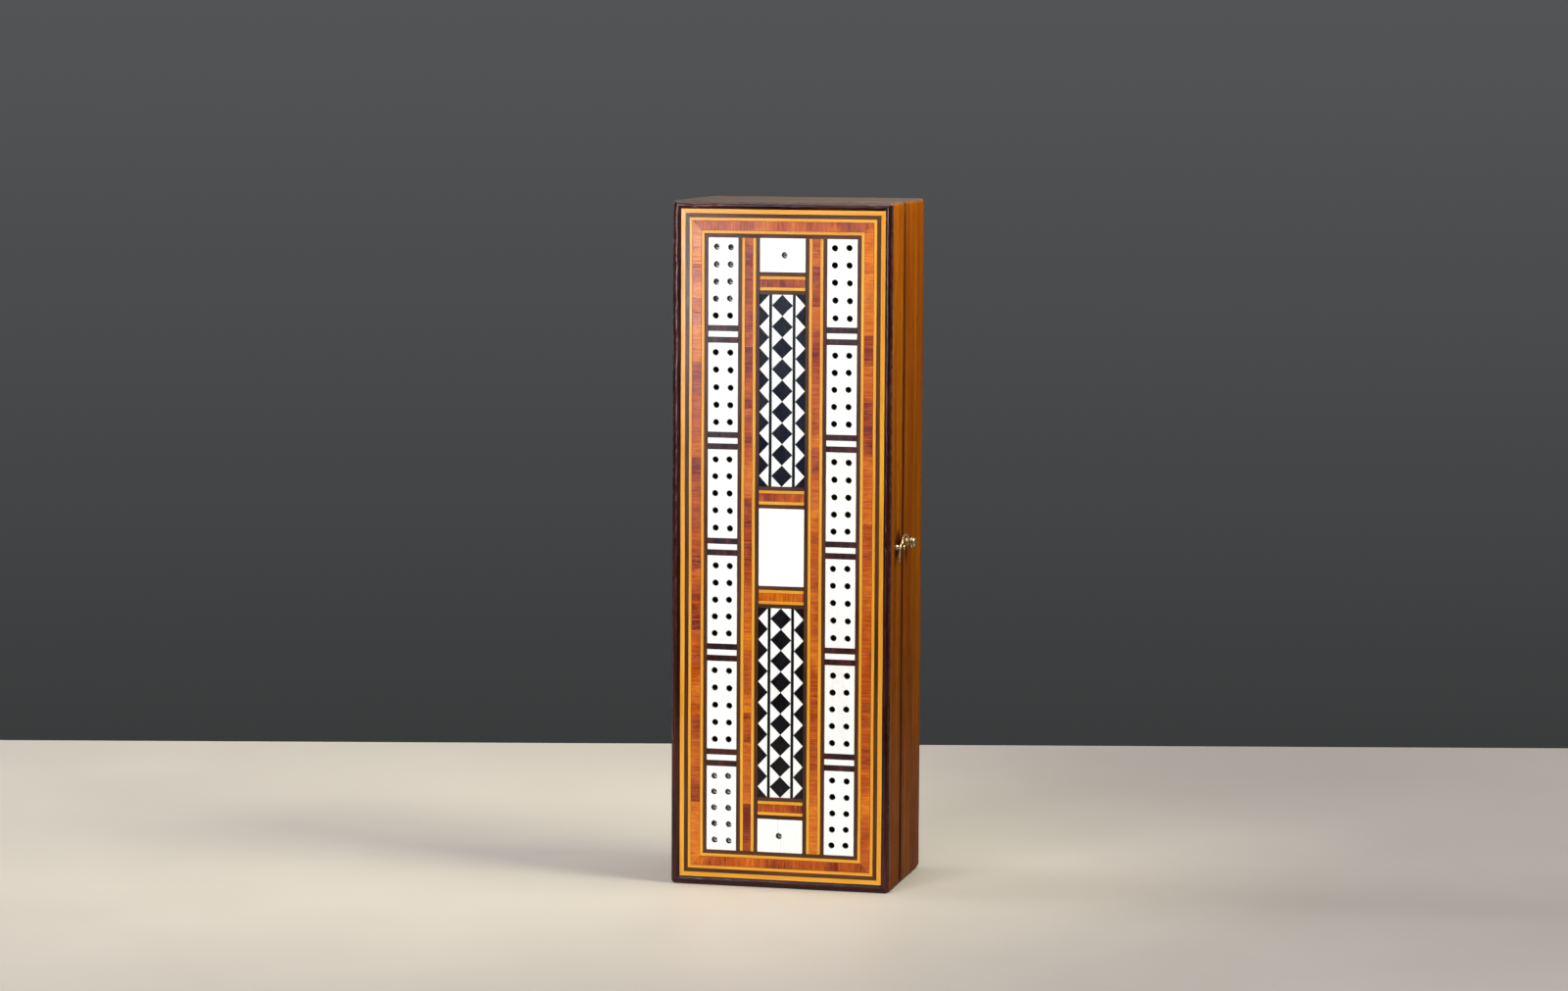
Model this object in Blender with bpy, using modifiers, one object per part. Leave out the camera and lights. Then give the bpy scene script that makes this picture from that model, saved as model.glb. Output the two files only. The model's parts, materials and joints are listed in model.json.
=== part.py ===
"""Cribbage box: a hinged mahogany case standing on its end, with the pegging board as its lid.

Metres, +Z up. The board faces -Y, the hinges are on the -X side and the hook is on the +X side.
The origin is the middle of the case's foot. Outlines are drawn in the X-Z plane and given their
thickness along Y.
"""
import math

import bmesh
import bpy
from mathutils import Matrix

MM = 0.001

# Case
CASE_W = 88.0 * MM
CASE_D = 60.0 * MM
CASE_H = 270.0 * MM
LID_DEPTH = 22.5 * MM
WALL = 6.0 * MM
CORNER_R = 1.5 * MM
LID_PANEL_T = 8.0 * MM
BACK_PANEL_T = 5.0 * MM
GAP = 0.3 * MM

# Inside the base: a card well at each end and a peg well between them
CARD_WELL = 97.0 * MM
PARTITION_T = 4.0 * MM
PARTITION_DROP = 1.5 * MM

# Marquetry, as widths counted from the edge of the board inwards. All of it inside the border
# sits a little towards the latch side, so the border is widest on the hinge side.
SKIN = 1.2 * MM
BORDER_W = 3.2 * MM
INLAY_SHIFT = 0.35 * MM
BANDING_W = 11.05 * MM
TRACK_W = 12.0 * MM
BAND_W = 8.65 * MM
PLATES_PER_TRACK = 6
PLATE_H = 34.9 * MM
FIRST_PLATE_H = 34.2 * MM
TRACK_DIVIDER_H = 6.85 * MM
GAME_PLATE_H = 13.2 * MM
MOSAIC_H = 75.0 * MM

# Peg holes
HOLE_R = 1.25 * MM
HOLE_SIDES = 8
HOLE_DEPTH = 5.5 * MM
HOLE_ROWS = 5
ROW_PITCH = 6.75 * MM
LAST_ROW_PITCH = 6.4 * MM
COLUMN_OFFSET = 2.85 * MM
HAND_ERROR = 0.18 * MM
GAME_HOLE_OFFSETS = (0.7 * MM, -0.4 * MM)

# Butt hinges
HINGE_Z = (50.0 * MM, 220.0 * MM)
HINGE_L = 25.0 * MM
LEAF_T = 1.0 * MM
LEAF_REACH = 5.2 * MM
KNUCKLE_R = 1.6 * MM
KNUCKLE_L = 8.0 * MM
HINGE_BORE_R = 0.85 * MM
HINGE_PIN_R = 0.55 * MM
AXIS_PROUD = 0.9 * MM

# Hook latch, at half height on the +X side
LATCH_Z = 135.5 * MM
CATCH_BACK = 10.0 * MM
CATCH_R = 0.55 * MM
CATCH_HEAD_R = 1.0 * MM
PIVOT_BACK = 29.5 * MM
PIVOT_R = 0.9 * MM
PIVOT_HEAD_R = 1.8 * MM
STUD_ROOT_L = 4.0 * MM
HOOK_PROUD = 2.2 * MM
HOOK_WIRE_R = 0.5 * MM
EYE_R = 1.75 * MM

# Pegs
PEG_L = 26.0 * MM
PEG_HEAD_R = 1.9 * MM

HALF_W = CASE_W / 2
HALF_D = CASE_D / 2
PARTING_Y = LID_DEPTH - HALF_D
FIELD_INSET = BORDER_W + BANDING_W
FIELD_W = CASE_W - 2 * FIELD_INSET
FIELD_H = CASE_H - 2 * FIELD_INSET
FIELD_TOP = CASE_H - FIELD_INSET
TRACK_X = FIELD_W / 2 - TRACK_W / 2
BAND_X = FIELD_W / 2 - TRACK_W - BAND_W / 2
CENTRE_W = FIELD_W - 2 * TRACK_W - 2 * BAND_W
FULL_PLATES = PLATES_PER_TRACK - 2
LAST_PLATE_H = FIELD_H - FIRST_PLATE_H - FULL_PLATES * PLATE_H - (PLATES_PER_TRACK - 1) * TRACK_DIVIDER_H
CENTRE_PLATE_H = FIELD_H - 2 * GAME_PLATE_H - 4 * BAND_W - 2 * MOSAIC_H
SKIN_Y = (-HALF_D, -HALF_D + SKIN)
LID_Y = (SKIN_Y[1] + GAP, PARTING_Y - GAP / 2)
BASE_Y = (PARTING_Y + GAP / 2, HALF_D)
HINGE_X = -HALF_W - AXIS_PROUD

COLOURS = {
    "mahogany": ((0.26, 0.09, 0.03), 0.4, 0.0),
    "deal": ((0.45, 0.28, 0.13), 0.6, 0.0),
    "rosewood": ((0.10, 0.03, 0.03), 0.35, 0.0),
    "boxwood": ((0.74, 0.42, 0.10), 0.35, 0.0),
    "kingwood": ((0.48, 0.12, 0.03), 0.35, 0.0),
    "ebony": ((0.01, 0.01, 0.013), 0.3, 0.0),
    "bone": ((0.86, 0.84, 0.78), 0.3, 0.0),
    "brass": ((0.55, 0.36, 0.12), 0.35, 1.0),
}


def clear_scene():
    for item in list(bpy.data.objects):
        bpy.data.objects.remove(item, do_unlink=True)


def new_collection(name):
    collection = bpy.data.collections.new(name)
    bpy.context.scene.collection.children.link(collection)
    return collection


def make_materials():
    made = {}
    for name, (colour, roughness, metallic) in COLOURS.items():
        material = bpy.data.materials.new(name)
        material.use_nodes = True
        shader = material.node_tree.nodes["Principled BSDF"]
        shader.inputs["Base Color"].default_value = (*colour, 1.0)
        shader.inputs["Roughness"].default_value = roughness
        shader.inputs["Metallic"].default_value = metallic
        made[name] = material
    return made


def add_object(name, data, material=None):
    """Link a new object; one with no material is a cutter and is hidden."""
    item = bpy.data.objects.new(name, data)
    if material:
        data.materials.append(MATERIALS[material])
        PARTS.objects.link(item)
    else:
        CUTTERS.objects.link(item)
        item.hide_render = True
        item.display_type = "WIRE"
    return item


def box(name, low, high, material=None):
    mesh = bpy.data.meshes.new(name)
    bm = bmesh.new()
    bmesh.ops.create_cube(bm, size=1.0)
    size = [b - a for a, b in zip(low, high)]
    bmesh.ops.scale(bm, vec=size, verts=bm.verts)
    bm.to_mesh(mesh)
    bm.free()
    item = add_object(name, mesh, material)
    item.location = [(a + b) / 2 for a, b in zip(low, high)]
    return item


def rod(name, radius, length, sides, location, rotation=(0, 0, 0), material=None):
    mesh = bpy.data.meshes.new(name)
    bm = bmesh.new()
    bmesh.ops.create_cone(bm, cap_ends=True, segments=sides, radius1=radius, radius2=radius, depth=length)
    bm.to_mesh(mesh)
    bm.free()
    mesh.shade_smooth()
    mesh.set_sharp_from_angle(angle=math.radians(40))
    item = add_object(name, mesh, material)
    item.location = location
    item.rotation_euler = rotation
    return item


def slab(name, outlines, y_range, centre, material):
    """Flat piece from closed outlines in the X-Z plane; outlines after the first are windows."""
    curve = bpy.data.curves.new(name, "CURVE")
    curve.dimensions = "2D"
    curve.fill_mode = "BOTH"
    curve.extrude = (y_range[1] - y_range[0]) / 2
    for outline in outlines:
        spline = curve.splines.new("POLY")
        spline.points.add(len(outline) - 1)
        for point, (x, z) in zip(spline.points, outline):
            point.co = (x, z, 0.0, 1.0)
        spline.use_cyclic_u = True
    item = add_object(name, curve, material)
    item.location = (centre[0], sum(y_range) / 2, centre[1])
    item.rotation_euler = (math.pi / 2, 0, 0)
    return item


def as_mesh(item):
    """Swap a curve object for a welded mesh object, so that it can be cut or joined."""
    bpy.context.view_layer.update()
    depsgraph = bpy.context.evaluated_depsgraph_get()
    mesh = bpy.data.meshes.new_from_object(item.evaluated_get(depsgraph))
    bm = bmesh.new()
    bm.from_mesh(mesh)
    bmesh.ops.remove_doubles(bm, verts=bm.verts, dist=1e-6)
    bmesh.ops.recalc_face_normals(bm, faces=bm.faces)
    bm.to_mesh(mesh)
    bm.free()
    name = item.name
    place = item.matrix_world.copy()
    collection = item.users_collection[0]
    bpy.data.objects.remove(item, do_unlink=True)
    solid = bpy.data.objects.new(name, mesh)
    solid.matrix_world = place
    collection.objects.link(solid)
    return solid


def combine(item, other, operation):
    modifier = item.modifiers.new(f"{operation.lower()}_{other.name}", "BOOLEAN")
    modifier.operation = operation
    modifier.solver = "EXACT"
    modifier.object = other


def turned(name, profile, steps, location, rotation, material):
    """Turned piece: a profile of (radius, height) from top to bottom, spun about its own Z."""
    mesh = bpy.data.meshes.new(name)
    points = [(radius, 0.0, height) for radius, height in profile]
    mesh.from_pydata(points, [(i, i + 1) for i in range(len(points) - 1)], [])
    item = add_object(name, mesh, material)
    screw = item.modifiers.new("turning", "SCREW")
    screw.steps = steps
    screw.render_steps = steps
    screw.use_merge_vertices = True
    screw.merge_threshold = 1e-5
    screw.use_smooth_shade = True
    item.location = location
    item.rotation_euler = rotation
    return item


def rectangle(width, height):
    x = width / 2
    z = height / 2
    return [(-x, -z), (x, -z), (x, z), (-x, z)]


def rounded_rectangle(width, height, radius, steps):
    """A rectangle whose corners are quarter circles, anticlockwise from the right-hand side."""
    points = []
    for number, (sx, sz) in enumerate(((1, 1), (-1, 1), (-1, -1), (1, -1))):
        for i in range(steps + 1):
            angle = math.pi / 2 * (number + i / steps)
            x = sx * (width / 2 - radius) + radius * math.cos(angle)
            z = sz * (height / 2 - radius) + radius * math.sin(angle)
            points.append((x, z))
    return points


def circle(x, z, radius, sides):
    angles = [2 * math.pi * (i + 0.5) / sides for i in range(sides)]
    return [(x + radius * math.cos(a), z + radius * math.sin(a)) for a in angles]


def shrunk(width, height):
    """A veneer's outline, a hair smaller than the room it has, so that it clears its neighbours."""
    return rectangle(width - GAP, height - GAP)


def hand_error(seed):
    """The small, repeatable wander of a hole marked out by hand."""
    return HAND_ERROR * math.sin(12.9898 * seed)


def track_plates():
    """Middle height, height and row pitch of each bone plate of a track, from the top down."""
    heights = [FIRST_PLATE_H] + [PLATE_H] * FULL_PLATES + [LAST_PLATE_H]
    pitches = [ROW_PITCH] * (PLATES_PER_TRACK - 1) + [LAST_ROW_PITCH]
    plates = []
    top = FIELD_TOP
    for height, pitch in zip(heights, pitches):
        plates.append((top - height / 2, height, pitch))
        top -= height + TRACK_DIVIDER_H
    return plates


def plate_holes(side, number):
    """Hole places on one bone plate, measured from the plate's middle."""
    pitch = track_plates()[number][2]
    holes = []
    for row in range(HOLE_ROWS):
        for column in (-1, 1):
            seed = 100 * side + 10 * number + 2 * row + column
            x = column * COLUMN_OFFSET + hand_error(seed)
            z = (HOLE_ROWS // 2 - row) * pitch + hand_error(seed + 50)
            holes.append((x, z))
    return holes


def centre_column():
    """The centre column from the top down: name, middle height and height of each piece."""
    order = [
        ("game_plate_top", GAME_PLATE_H),
        ("cross_band_1", BAND_W),
        ("mosaic_panel_top", MOSAIC_H),
        ("cross_band_2", BAND_W),
        ("centre_plate", CENTRE_PLATE_H),
        ("cross_band_3", BAND_W),
        ("mosaic_panel_bottom", MOSAIC_H),
        ("cross_band_4", BAND_W),
        ("game_plate_bottom", GAME_PLATE_H),
    ]
    pieces = []
    top = FIELD_TOP
    for name, height in order:
        pieces.append((name, top - height / 2, height))
        top -= height
    return pieces


def mitred_outline(length):
    """Section of a mitred side board: u runs along the board, v outwards from its inner face."""
    slip = GAP / math.sqrt(2)
    arc_steps = 3
    end = []
    for i in range(arc_steps + 1):
        angle = math.radians(90 - 45 * i / arc_steps)
        u = length / 2 - CORNER_R + CORNER_R * math.cos(angle) - slip
        v = WALL - CORNER_R + CORNER_R * math.sin(angle)
        end.append((u, v))
    end.append((length / 2 - WALL - slip, 0.0))
    return end + [(-u, v) for u, v in reversed(end)]


def side_board(name, turn, y_range):
    """One of the four boards round the case; turn is the direction that it faces, in degrees."""
    along_x = turn % 180 == 90
    length = CASE_W if along_x else CASE_H
    reach = (CASE_H if along_x else CASE_W) / 2 - WALL
    angle = math.radians(turn)
    out_x = math.cos(angle)
    out_z = math.sin(angle)
    outline = []
    for u, v in mitred_outline(length):
        outline.append(((reach + v) * out_x - u * out_z, (reach + v) * out_z + u * out_x))
    return as_mesh(slab(name, [outline], y_range, (0.0, CASE_H / 2), "mahogany"))


def make_sides(prefix, y_range, names):
    turns = {"latch": 0, "top": 90, "hinge": 180, "bottom": 270}
    return {key: side_board(f"{prefix}_{names[key]}", turn, y_range) for key, turn in turns.items()}


def make_case():
    names = {"latch": "side_latch", "hinge": "side_hinge", "top": "end_top", "bottom": "end_bottom"}
    lid = make_sides("lid", LID_Y, names)
    base = make_sides("base", BASE_Y, names)
    inner_x = HALF_W - WALL - GAP
    low_z = WALL + GAP
    high_z = CASE_H - WALL - GAP
    front = LID_Y[0]
    panel = box("lid_panel", (-inner_x, front, low_z), (inner_x, front + LID_PANEL_T, high_z), "deal")
    combine(panel, hole_cutter(), "DIFFERENCE")
    back = HALF_D - BACK_PANEL_T
    box("back_panel", (-inner_x, back, low_z), (inner_x, HALF_D, high_z), "mahogany")
    shelf_y = (PARTING_Y + PARTITION_DROP, back - GAP)
    lower = WALL + CARD_WELL
    upper = CASE_H - WALL - CARD_WELL - PARTITION_T
    for name, z in (("partition_lower", lower), ("partition_upper", upper)):
        box(name, (-inner_x, shelf_y[0], z), (inner_x, shelf_y[1], z + PARTITION_T), "mahogany")
    return lid, base


def board_holes():
    """Every peg hole of the board, in world x and z."""
    holes = []
    for side in (-1, 1):
        for number, (middle, _, _) in enumerate(track_plates()):
            for x, z in plate_holes(side, number):
                holes.append((INLAY_SHIFT + side * TRACK_X + x, middle + z))
    column = centre_column()
    holes.append((INLAY_SHIFT + GAME_HOLE_OFFSETS[0], column[0][1]))
    holes.append((INLAY_SHIFT + GAME_HOLE_OFFSETS[1], column[-1][1]))
    return holes


def hole_cutter():
    """All the peg holes below the plates, as one mesh of short octagonal drills."""
    mesh = bpy.data.meshes.new("peg_hole_drills")
    bm = bmesh.new()
    front = LID_Y[0]
    middle_y = front + (HOLE_DEPTH - GAP) / 2
    turn = Matrix.Rotation(math.pi / 2, 4, "X") @ Matrix.Rotation(math.pi / HOLE_SIDES, 4, "Z")
    for x, z in board_holes():
        bmesh.ops.create_cone(
            bm,
            cap_ends=True,
            segments=HOLE_SIDES,
            radius1=HOLE_R,
            radius2=HOLE_R,
            depth=HOLE_DEPTH + GAP,
            matrix=Matrix.Translation((x, middle_y, z)) @ turn,
        )
    bm.to_mesh(mesh)
    bm.free()
    return add_object("peg_hole_drills", mesh)


def ring(name, outline, inner_inset, material):
    """A frame of veneer that runs all round the board, its outline given about the inlay's middle."""
    window = rectangle(CASE_W - 2 * inner_inset, CASE_H - 2 * inner_inset)
    slab(name, [outline, window], SKIN_Y, (INLAY_SHIFT, CASE_H / 2), material)


def make_tracks():
    for side, word in ((-1, "left"), (1, "right")):
        x = INLAY_SHIFT + side * TRACK_X
        plates = track_plates()
        for number, (middle, height, _) in enumerate(plates):
            windows = [circle(u, v, HOLE_R, HOLE_SIDES) for u, v in plate_holes(side, number)]
            outlines = [shrunk(TRACK_W, height)] + windows
            slab(f"peg_plate_{word}_{number + 1}", outlines, SKIN_Y, (x, middle), "bone")
        for number, (middle, height, _) in enumerate(plates[:-1]):
            z = middle - height / 2 - TRACK_DIVIDER_H / 2
            name = f"track_divider_{word}_{number + 1}"
            slab(name, [shrunk(TRACK_W, TRACK_DIVIDER_H)], SKIN_Y, (x, z), "rosewood")


def make_centre_column():
    offsets = {"game_plate_top": GAME_HOLE_OFFSETS[0], "game_plate_bottom": GAME_HOLE_OFFSETS[1]}
    for name, middle, height in centre_column():
        material = "kingwood" if "band" in name else "ebony" if "mosaic" in name else "bone"
        outlines = [shrunk(CENTRE_W, height)]
        if name in offsets:
            outlines.append(circle(offsets[name], 0.0, HOLE_R, HOLE_SIDES))
        slab(name, outlines, SKIN_Y, (INLAY_SHIFT, middle), material)


def make_marquetry():
    board_edge = [(x - INLAY_SHIFT, z) for x, z in rounded_rectangle(CASE_W, CASE_H, CORNER_R, 3)]
    ring("rosewood_border", board_edge, BORDER_W - GAP / 2, "rosewood")
    banding_edge = shrunk(CASE_W - 2 * BORDER_W, CASE_H - 2 * BORDER_W)
    ring("perimeter_banding", banding_edge, FIELD_INSET - GAP / 2, "boxwood")
    for side, word in ((-1, "left"), (1, "right")):
        place = (INLAY_SHIFT + side * BAND_X, CASE_H / 2)
        slab(f"long_band_{word}", [shrunk(BAND_W, FIELD_H)], SKIN_Y, place, "kingwood")
    make_tracks()
    make_centre_column()


def hinge_leaf(name, z, y_range, knuckles, notches):
    """A leaf with its own knuckles, notched where the other leaf's knuckles turn."""
    low = (HINGE_X, y_range[0], z - HINGE_L / 2)
    high = (HINGE_X + AXIS_PROUD + LEAF_REACH, y_range[1], z + HINGE_L / 2)
    leaf = box(name, low, high, "brass")
    for number, (start, end) in enumerate(notches):
        low = (HINGE_X - GAP, y_range[0] - GAP, z + start)
        high = (HINGE_X + KNUCKLE_R + GAP, y_range[1] + GAP, z + end)
        combine(leaf, box(f"{name}_notch_{number}", low, high), "DIFFERENCE")
    for number, (start, end) in enumerate(knuckles):
        place = (HINGE_X, PARTING_Y, z + (start + end) / 2)
        knuckle = rod(f"{name}_knuckle_{number}", KNUCKLE_R, end - start, 16, place)
        combine(leaf, knuckle, "UNION")
    bore = rod(f"{name}_bore", HINGE_BORE_R, 2 * HINGE_L, 12, (HINGE_X, PARTING_Y, z))
    combine(leaf, bore, "DIFFERENCE")


def make_hinge(word, z, boards):
    half = HINGE_L / 2
    middle = KNUCKLE_L / 2
    lid_y = (LID_Y[1] - LEAF_T, LID_Y[1])
    base_y = (BASE_Y[0], BASE_Y[0] + LEAF_T)
    lid_knuckles = [(-middle, middle)]
    base_knuckles = [(-half, -middle - GAP), (middle + GAP, half)]
    lid_notches = [(-half - GAP, -middle), (middle, half + GAP)]
    base_notches = [(-middle - GAP, middle + GAP)]
    hinge_leaf(f"hinge_{word}_lid_leaf", z, lid_y, lid_knuckles, lid_notches)
    hinge_leaf(f"hinge_{word}_base_leaf", z, base_y, base_knuckles, base_notches)
    place = (HINGE_X, PARTING_Y, z)
    rod(f"hinge_{word}_pin", HINGE_PIN_R, HINGE_L + GAP, 12, place, material="brass")
    low = (-HALF_W - GAP, lid_y[0] - GAP, z - half - GAP)
    high = (HINGE_X + AXIS_PROUD + LEAF_REACH + GAP, base_y[1] + GAP, z + half + GAP)
    mortise = box(f"hinge_{word}_mortise", low, high)
    cove = rod(f"hinge_{word}_cove", KNUCKLE_R + GAP, HINGE_L + 2 * GAP, 16, place)
    for board in boards:
        combine(board, mortise, "DIFFERENCE")
        combine(board, cove, "DIFFERENCE")


def latch_stud(name, back, neck_r, head_r, board):
    """A turned brass stud let into a side board, with a foot and a domed head of the same width."""
    foot = 1.0 * MM
    under_head = HOOK_PROUD + HOOK_WIRE_R + GAP
    top = under_head + 0.9 * MM
    profile = [
        (0.0, top),
        (0.6 * head_r, top - 0.15 * MM),
        (head_r, top - 0.5 * MM),
        (head_r, under_head),
        (neck_r, under_head),
        (neck_r, foot),
        (head_r, foot - 0.3 * MM),
        (head_r, GAP),
        (neck_r, GAP),
        (neck_r, -STUD_ROOT_L),
        (0.0, -STUD_ROOT_L),
    ]
    place = (HALF_W, back - HALF_D, LATCH_Z)
    outwards = (0, math.pi / 2, 0)
    turned(name, profile, 14, place, outwards, "brass")
    depth = 2 * (STUD_ROOT_L + GAP)
    socket = rod(f"{name}_socket", neck_r + GAP, depth, 12, place, outwards)
    combine(board, socket, "DIFFERENCE")


def hook_route():
    """Centreline of the hook from its eye to its tip: back and up from the pivot, in metres."""
    shank = [(-4.5, 1.5), (-7.5, 2.9), (-10.5, 3.9), (-13.5, 4.2), (-15.8, 3.7), (-17.5, 2.7)]
    tip = [(-22.2, -2.2), (-22.5, -3.8), (-23.0, -5.4)]
    curl_r = 2.6 * MM
    curl_back = CATCH_BACK - PIVOT_BACK
    curl_up = CATCH_R + GAP + HOOK_WIRE_R - curl_r
    curl = []
    for degrees in range(75, 181, 15):
        angle = math.radians(degrees)
        curl.append((curl_back + curl_r * math.cos(angle), curl_up + curl_r * math.sin(angle)))
    route = [(-EYE_R, 0.4 * MM)]
    route += [(back * MM, up * MM) for back, up in shank]
    route += curl
    route += [(back * MM, up * MM) for back, up in tip]
    return route


def make_hook():
    """A bent wire hook whose eye turns on the pivot stud; it drops over the catch stud."""
    pivot = (HALF_W + HOOK_PROUD, PIVOT_BACK - HALF_D, LATCH_Z)
    curve = bpy.data.curves.new("hook", "CURVE")
    curve.dimensions = "3D"
    curve.bevel_depth = HOOK_WIRE_R
    curve.bevel_resolution = 2
    curve.use_fill_caps = True
    spline = curve.splines.new("POLY")
    route = hook_route()
    spline.points.add(len(route) - 1)
    for point, (back, up) in zip(spline.points, route):
        point.co = (0.0, back, up, 1.0)
    hook = add_object("hook", curve, "brass")
    hook.location = pivot
    hook = as_mesh(hook)
    hook.data.shade_smooth()
    bpy.ops.mesh.primitive_torus_add(
        major_radius=EYE_R,
        minor_radius=HOOK_WIRE_R,
        major_segments=20,
        minor_segments=8,
        location=pivot,
        rotation=(0, math.pi / 2, 0),
    )
    eye = bpy.context.object
    eye.name = "hook_eye"
    for collection in list(eye.users_collection):
        collection.objects.unlink(eye)
    CUTTERS.objects.link(eye)
    eye.hide_render = True
    eye.display_type = "WIRE"
    combine(hook, eye, "UNION")


def make_pegs():
    """Four turned pegs, two bone and two ebony, lying on the floor of the peg well."""
    profile = [
        (0.0, PEG_L),
        (0.65 * PEG_HEAD_R, PEG_L - 0.4 * MM),
        (PEG_HEAD_R, PEG_L - 1.9 * MM),
        (0.65 * PEG_HEAD_R, PEG_L - 3.4 * MM),
        (0.75 * MM, PEG_L - 4.2 * MM),
        (1.05 * MM, PEG_L - 5.0 * MM),
        (0.8 * MM, 0.3 * MM),
        (0.0, 0.0),
    ]
    floor = WALL + CARD_WELL + PARTITION_T
    tilt = math.atan((PEG_HEAD_R - 0.8 * MM) / (PEG_L - 1.9 * MM))
    head_rise = floor + GAP + PEG_HEAD_R
    places = [("bone_1", -22, 2, 6), ("ebony_1", 6, 6, -8), ("bone_2", -9, 12, 4), ("ebony_2", 8, 20, -5)]
    for word, x, y, swing in places:
        tip_z = head_rise - (PEG_L - 1.9 * MM) * math.sin(tilt)
        rotation = (0, math.pi / 2 - tilt, math.radians(swing))
        place = (x * MM, y * MM, tip_z)
        turned(f"peg_{word}", profile, 10, place, rotation, word.split("_")[0])


def parent_to_axis():
    """Hang every lid piece from an empty on the hinges' axis."""
    axis = bpy.data.objects.new("lid_axis", None)
    axis.location = (HINGE_X, PARTING_Y, 0.0)
    PARTS.objects.link(axis)
    bpy.context.view_layer.update()
    fixed = ("base", "back", "partition", "peg_bone", "peg_ebony", "hook", "pivot")
    for item in PARTS.objects:
        on_base = item.name.startswith(fixed) or item.name.endswith(("base_leaf", "_pin"))
        if item is axis or on_base:
            continue
        item.parent = axis
        item.matrix_parent_inverse = axis.matrix_world.inverted()


clear_scene()
PARTS = new_collection("cribbage_box")
CUTTERS = new_collection("cutters")
MATERIALS = make_materials()

lid_boards, base_boards = make_case()
make_marquetry()
for hinge_word, hinge_z in zip(("lower", "upper"), HINGE_Z):
    make_hinge(hinge_word, hinge_z, (lid_boards["hinge"], base_boards["hinge"]))
latch_stud("catch_stud", CATCH_BACK, CATCH_R, CATCH_HEAD_R, lid_boards["latch"])
latch_stud("pivot_stud", PIVOT_BACK, PIVOT_R, PIVOT_HEAD_R, base_boards["latch"])
make_hook()
make_pegs()
parent_to_axis()
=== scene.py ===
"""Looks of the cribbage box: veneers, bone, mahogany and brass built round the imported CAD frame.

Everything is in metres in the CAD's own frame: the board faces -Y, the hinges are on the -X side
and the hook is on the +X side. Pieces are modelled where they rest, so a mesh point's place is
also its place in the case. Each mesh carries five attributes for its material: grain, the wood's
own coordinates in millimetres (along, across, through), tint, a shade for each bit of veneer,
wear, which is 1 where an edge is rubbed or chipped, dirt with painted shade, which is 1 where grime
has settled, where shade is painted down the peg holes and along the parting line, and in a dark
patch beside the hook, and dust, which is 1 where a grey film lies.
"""
import json
import math
import random
from math import cos, pi, radians, sin

import bmesh
import bpy
from mathutils import Matrix, Vector, noise


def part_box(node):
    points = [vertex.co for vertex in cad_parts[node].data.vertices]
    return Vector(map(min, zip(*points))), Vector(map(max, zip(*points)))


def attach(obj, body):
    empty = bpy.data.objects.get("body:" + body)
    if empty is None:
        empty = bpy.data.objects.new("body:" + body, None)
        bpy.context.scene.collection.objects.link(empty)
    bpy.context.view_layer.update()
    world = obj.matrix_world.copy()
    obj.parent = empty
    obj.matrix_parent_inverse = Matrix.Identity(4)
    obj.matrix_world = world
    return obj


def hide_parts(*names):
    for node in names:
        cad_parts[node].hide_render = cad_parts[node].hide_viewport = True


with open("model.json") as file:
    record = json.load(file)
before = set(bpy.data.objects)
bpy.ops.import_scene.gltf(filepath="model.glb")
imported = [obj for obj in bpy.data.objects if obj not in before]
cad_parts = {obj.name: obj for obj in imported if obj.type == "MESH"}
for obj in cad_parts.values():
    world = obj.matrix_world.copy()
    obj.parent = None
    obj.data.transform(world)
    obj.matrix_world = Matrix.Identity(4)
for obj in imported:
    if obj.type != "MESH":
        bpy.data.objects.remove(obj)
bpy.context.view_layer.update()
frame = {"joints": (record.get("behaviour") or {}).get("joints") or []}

MM = 0.001
RNG = random.Random(11)

BOARD_LOW, BOARD_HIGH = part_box("rosewood_border")
HALF_W = BOARD_HIGH.x
CASE_H = BOARD_HIGH.z
FRONT = BOARD_LOW.y
SKIN_BACK = BOARD_HIGH.y
SKIN = 1.2 * MM
PARTING_Y = (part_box("lid_side_latch")[1].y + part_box("base_side_latch")[0].y) / 2

# Joints between veneers, and how the board's face has moved and worn
HAIR = 0.04 * MM
EASE = 0.07 * MM
CLEARANCE = 0.15 * MM
CROWN = 0.28 * MM
CROWN_REACH = 13.0 * MM
WANDER = 0.07 * MM
CORNER_R = 1.5 * MM
ARRIS_W = 1.5 * MM
ARRIS_D = 1.1 * MM

# The radius of a sharp corner and of a turned point, and how closely a strip follows the face
SHARP_R = 0.02 * MM
POINT_R = 0.01 * MM
STATION_PITCH = 5 * MM

# The case's outline and the inlay's, as left, right, bottom and top
CASE_RECT = (-HALF_W, HALF_W, 0.0, CASE_H)
INLAY_LOW, INLAY_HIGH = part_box("perimeter_banding")
INLAY_RECT = (
    INLAY_LOW.x - CLEARANCE, INLAY_HIGH.x + CLEARANCE, INLAY_LOW.z - CLEARANCE, INLAY_HIGH.z + CLEARANCE,
)

# Bandings, as strip widths from the outside in
PERIMETER = [
    ("outer_boxwood", 1.85, "boxwood"),
    ("outer_string", 1.5, "string"),
    ("middle_boxwood", 1.25, "boxwood"),
    ("kingwood", 3.7, "kingwood"),
    ("inner_boxwood", 1.25, "boxwood"),
    ("inner_string", 1.5, "string"),
]
BAND = [("string", 1.5), ("boxwood", 1.3), ("kingwood", 3.05), ("boxwood", 1.3), ("string", 1.5)]

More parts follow.
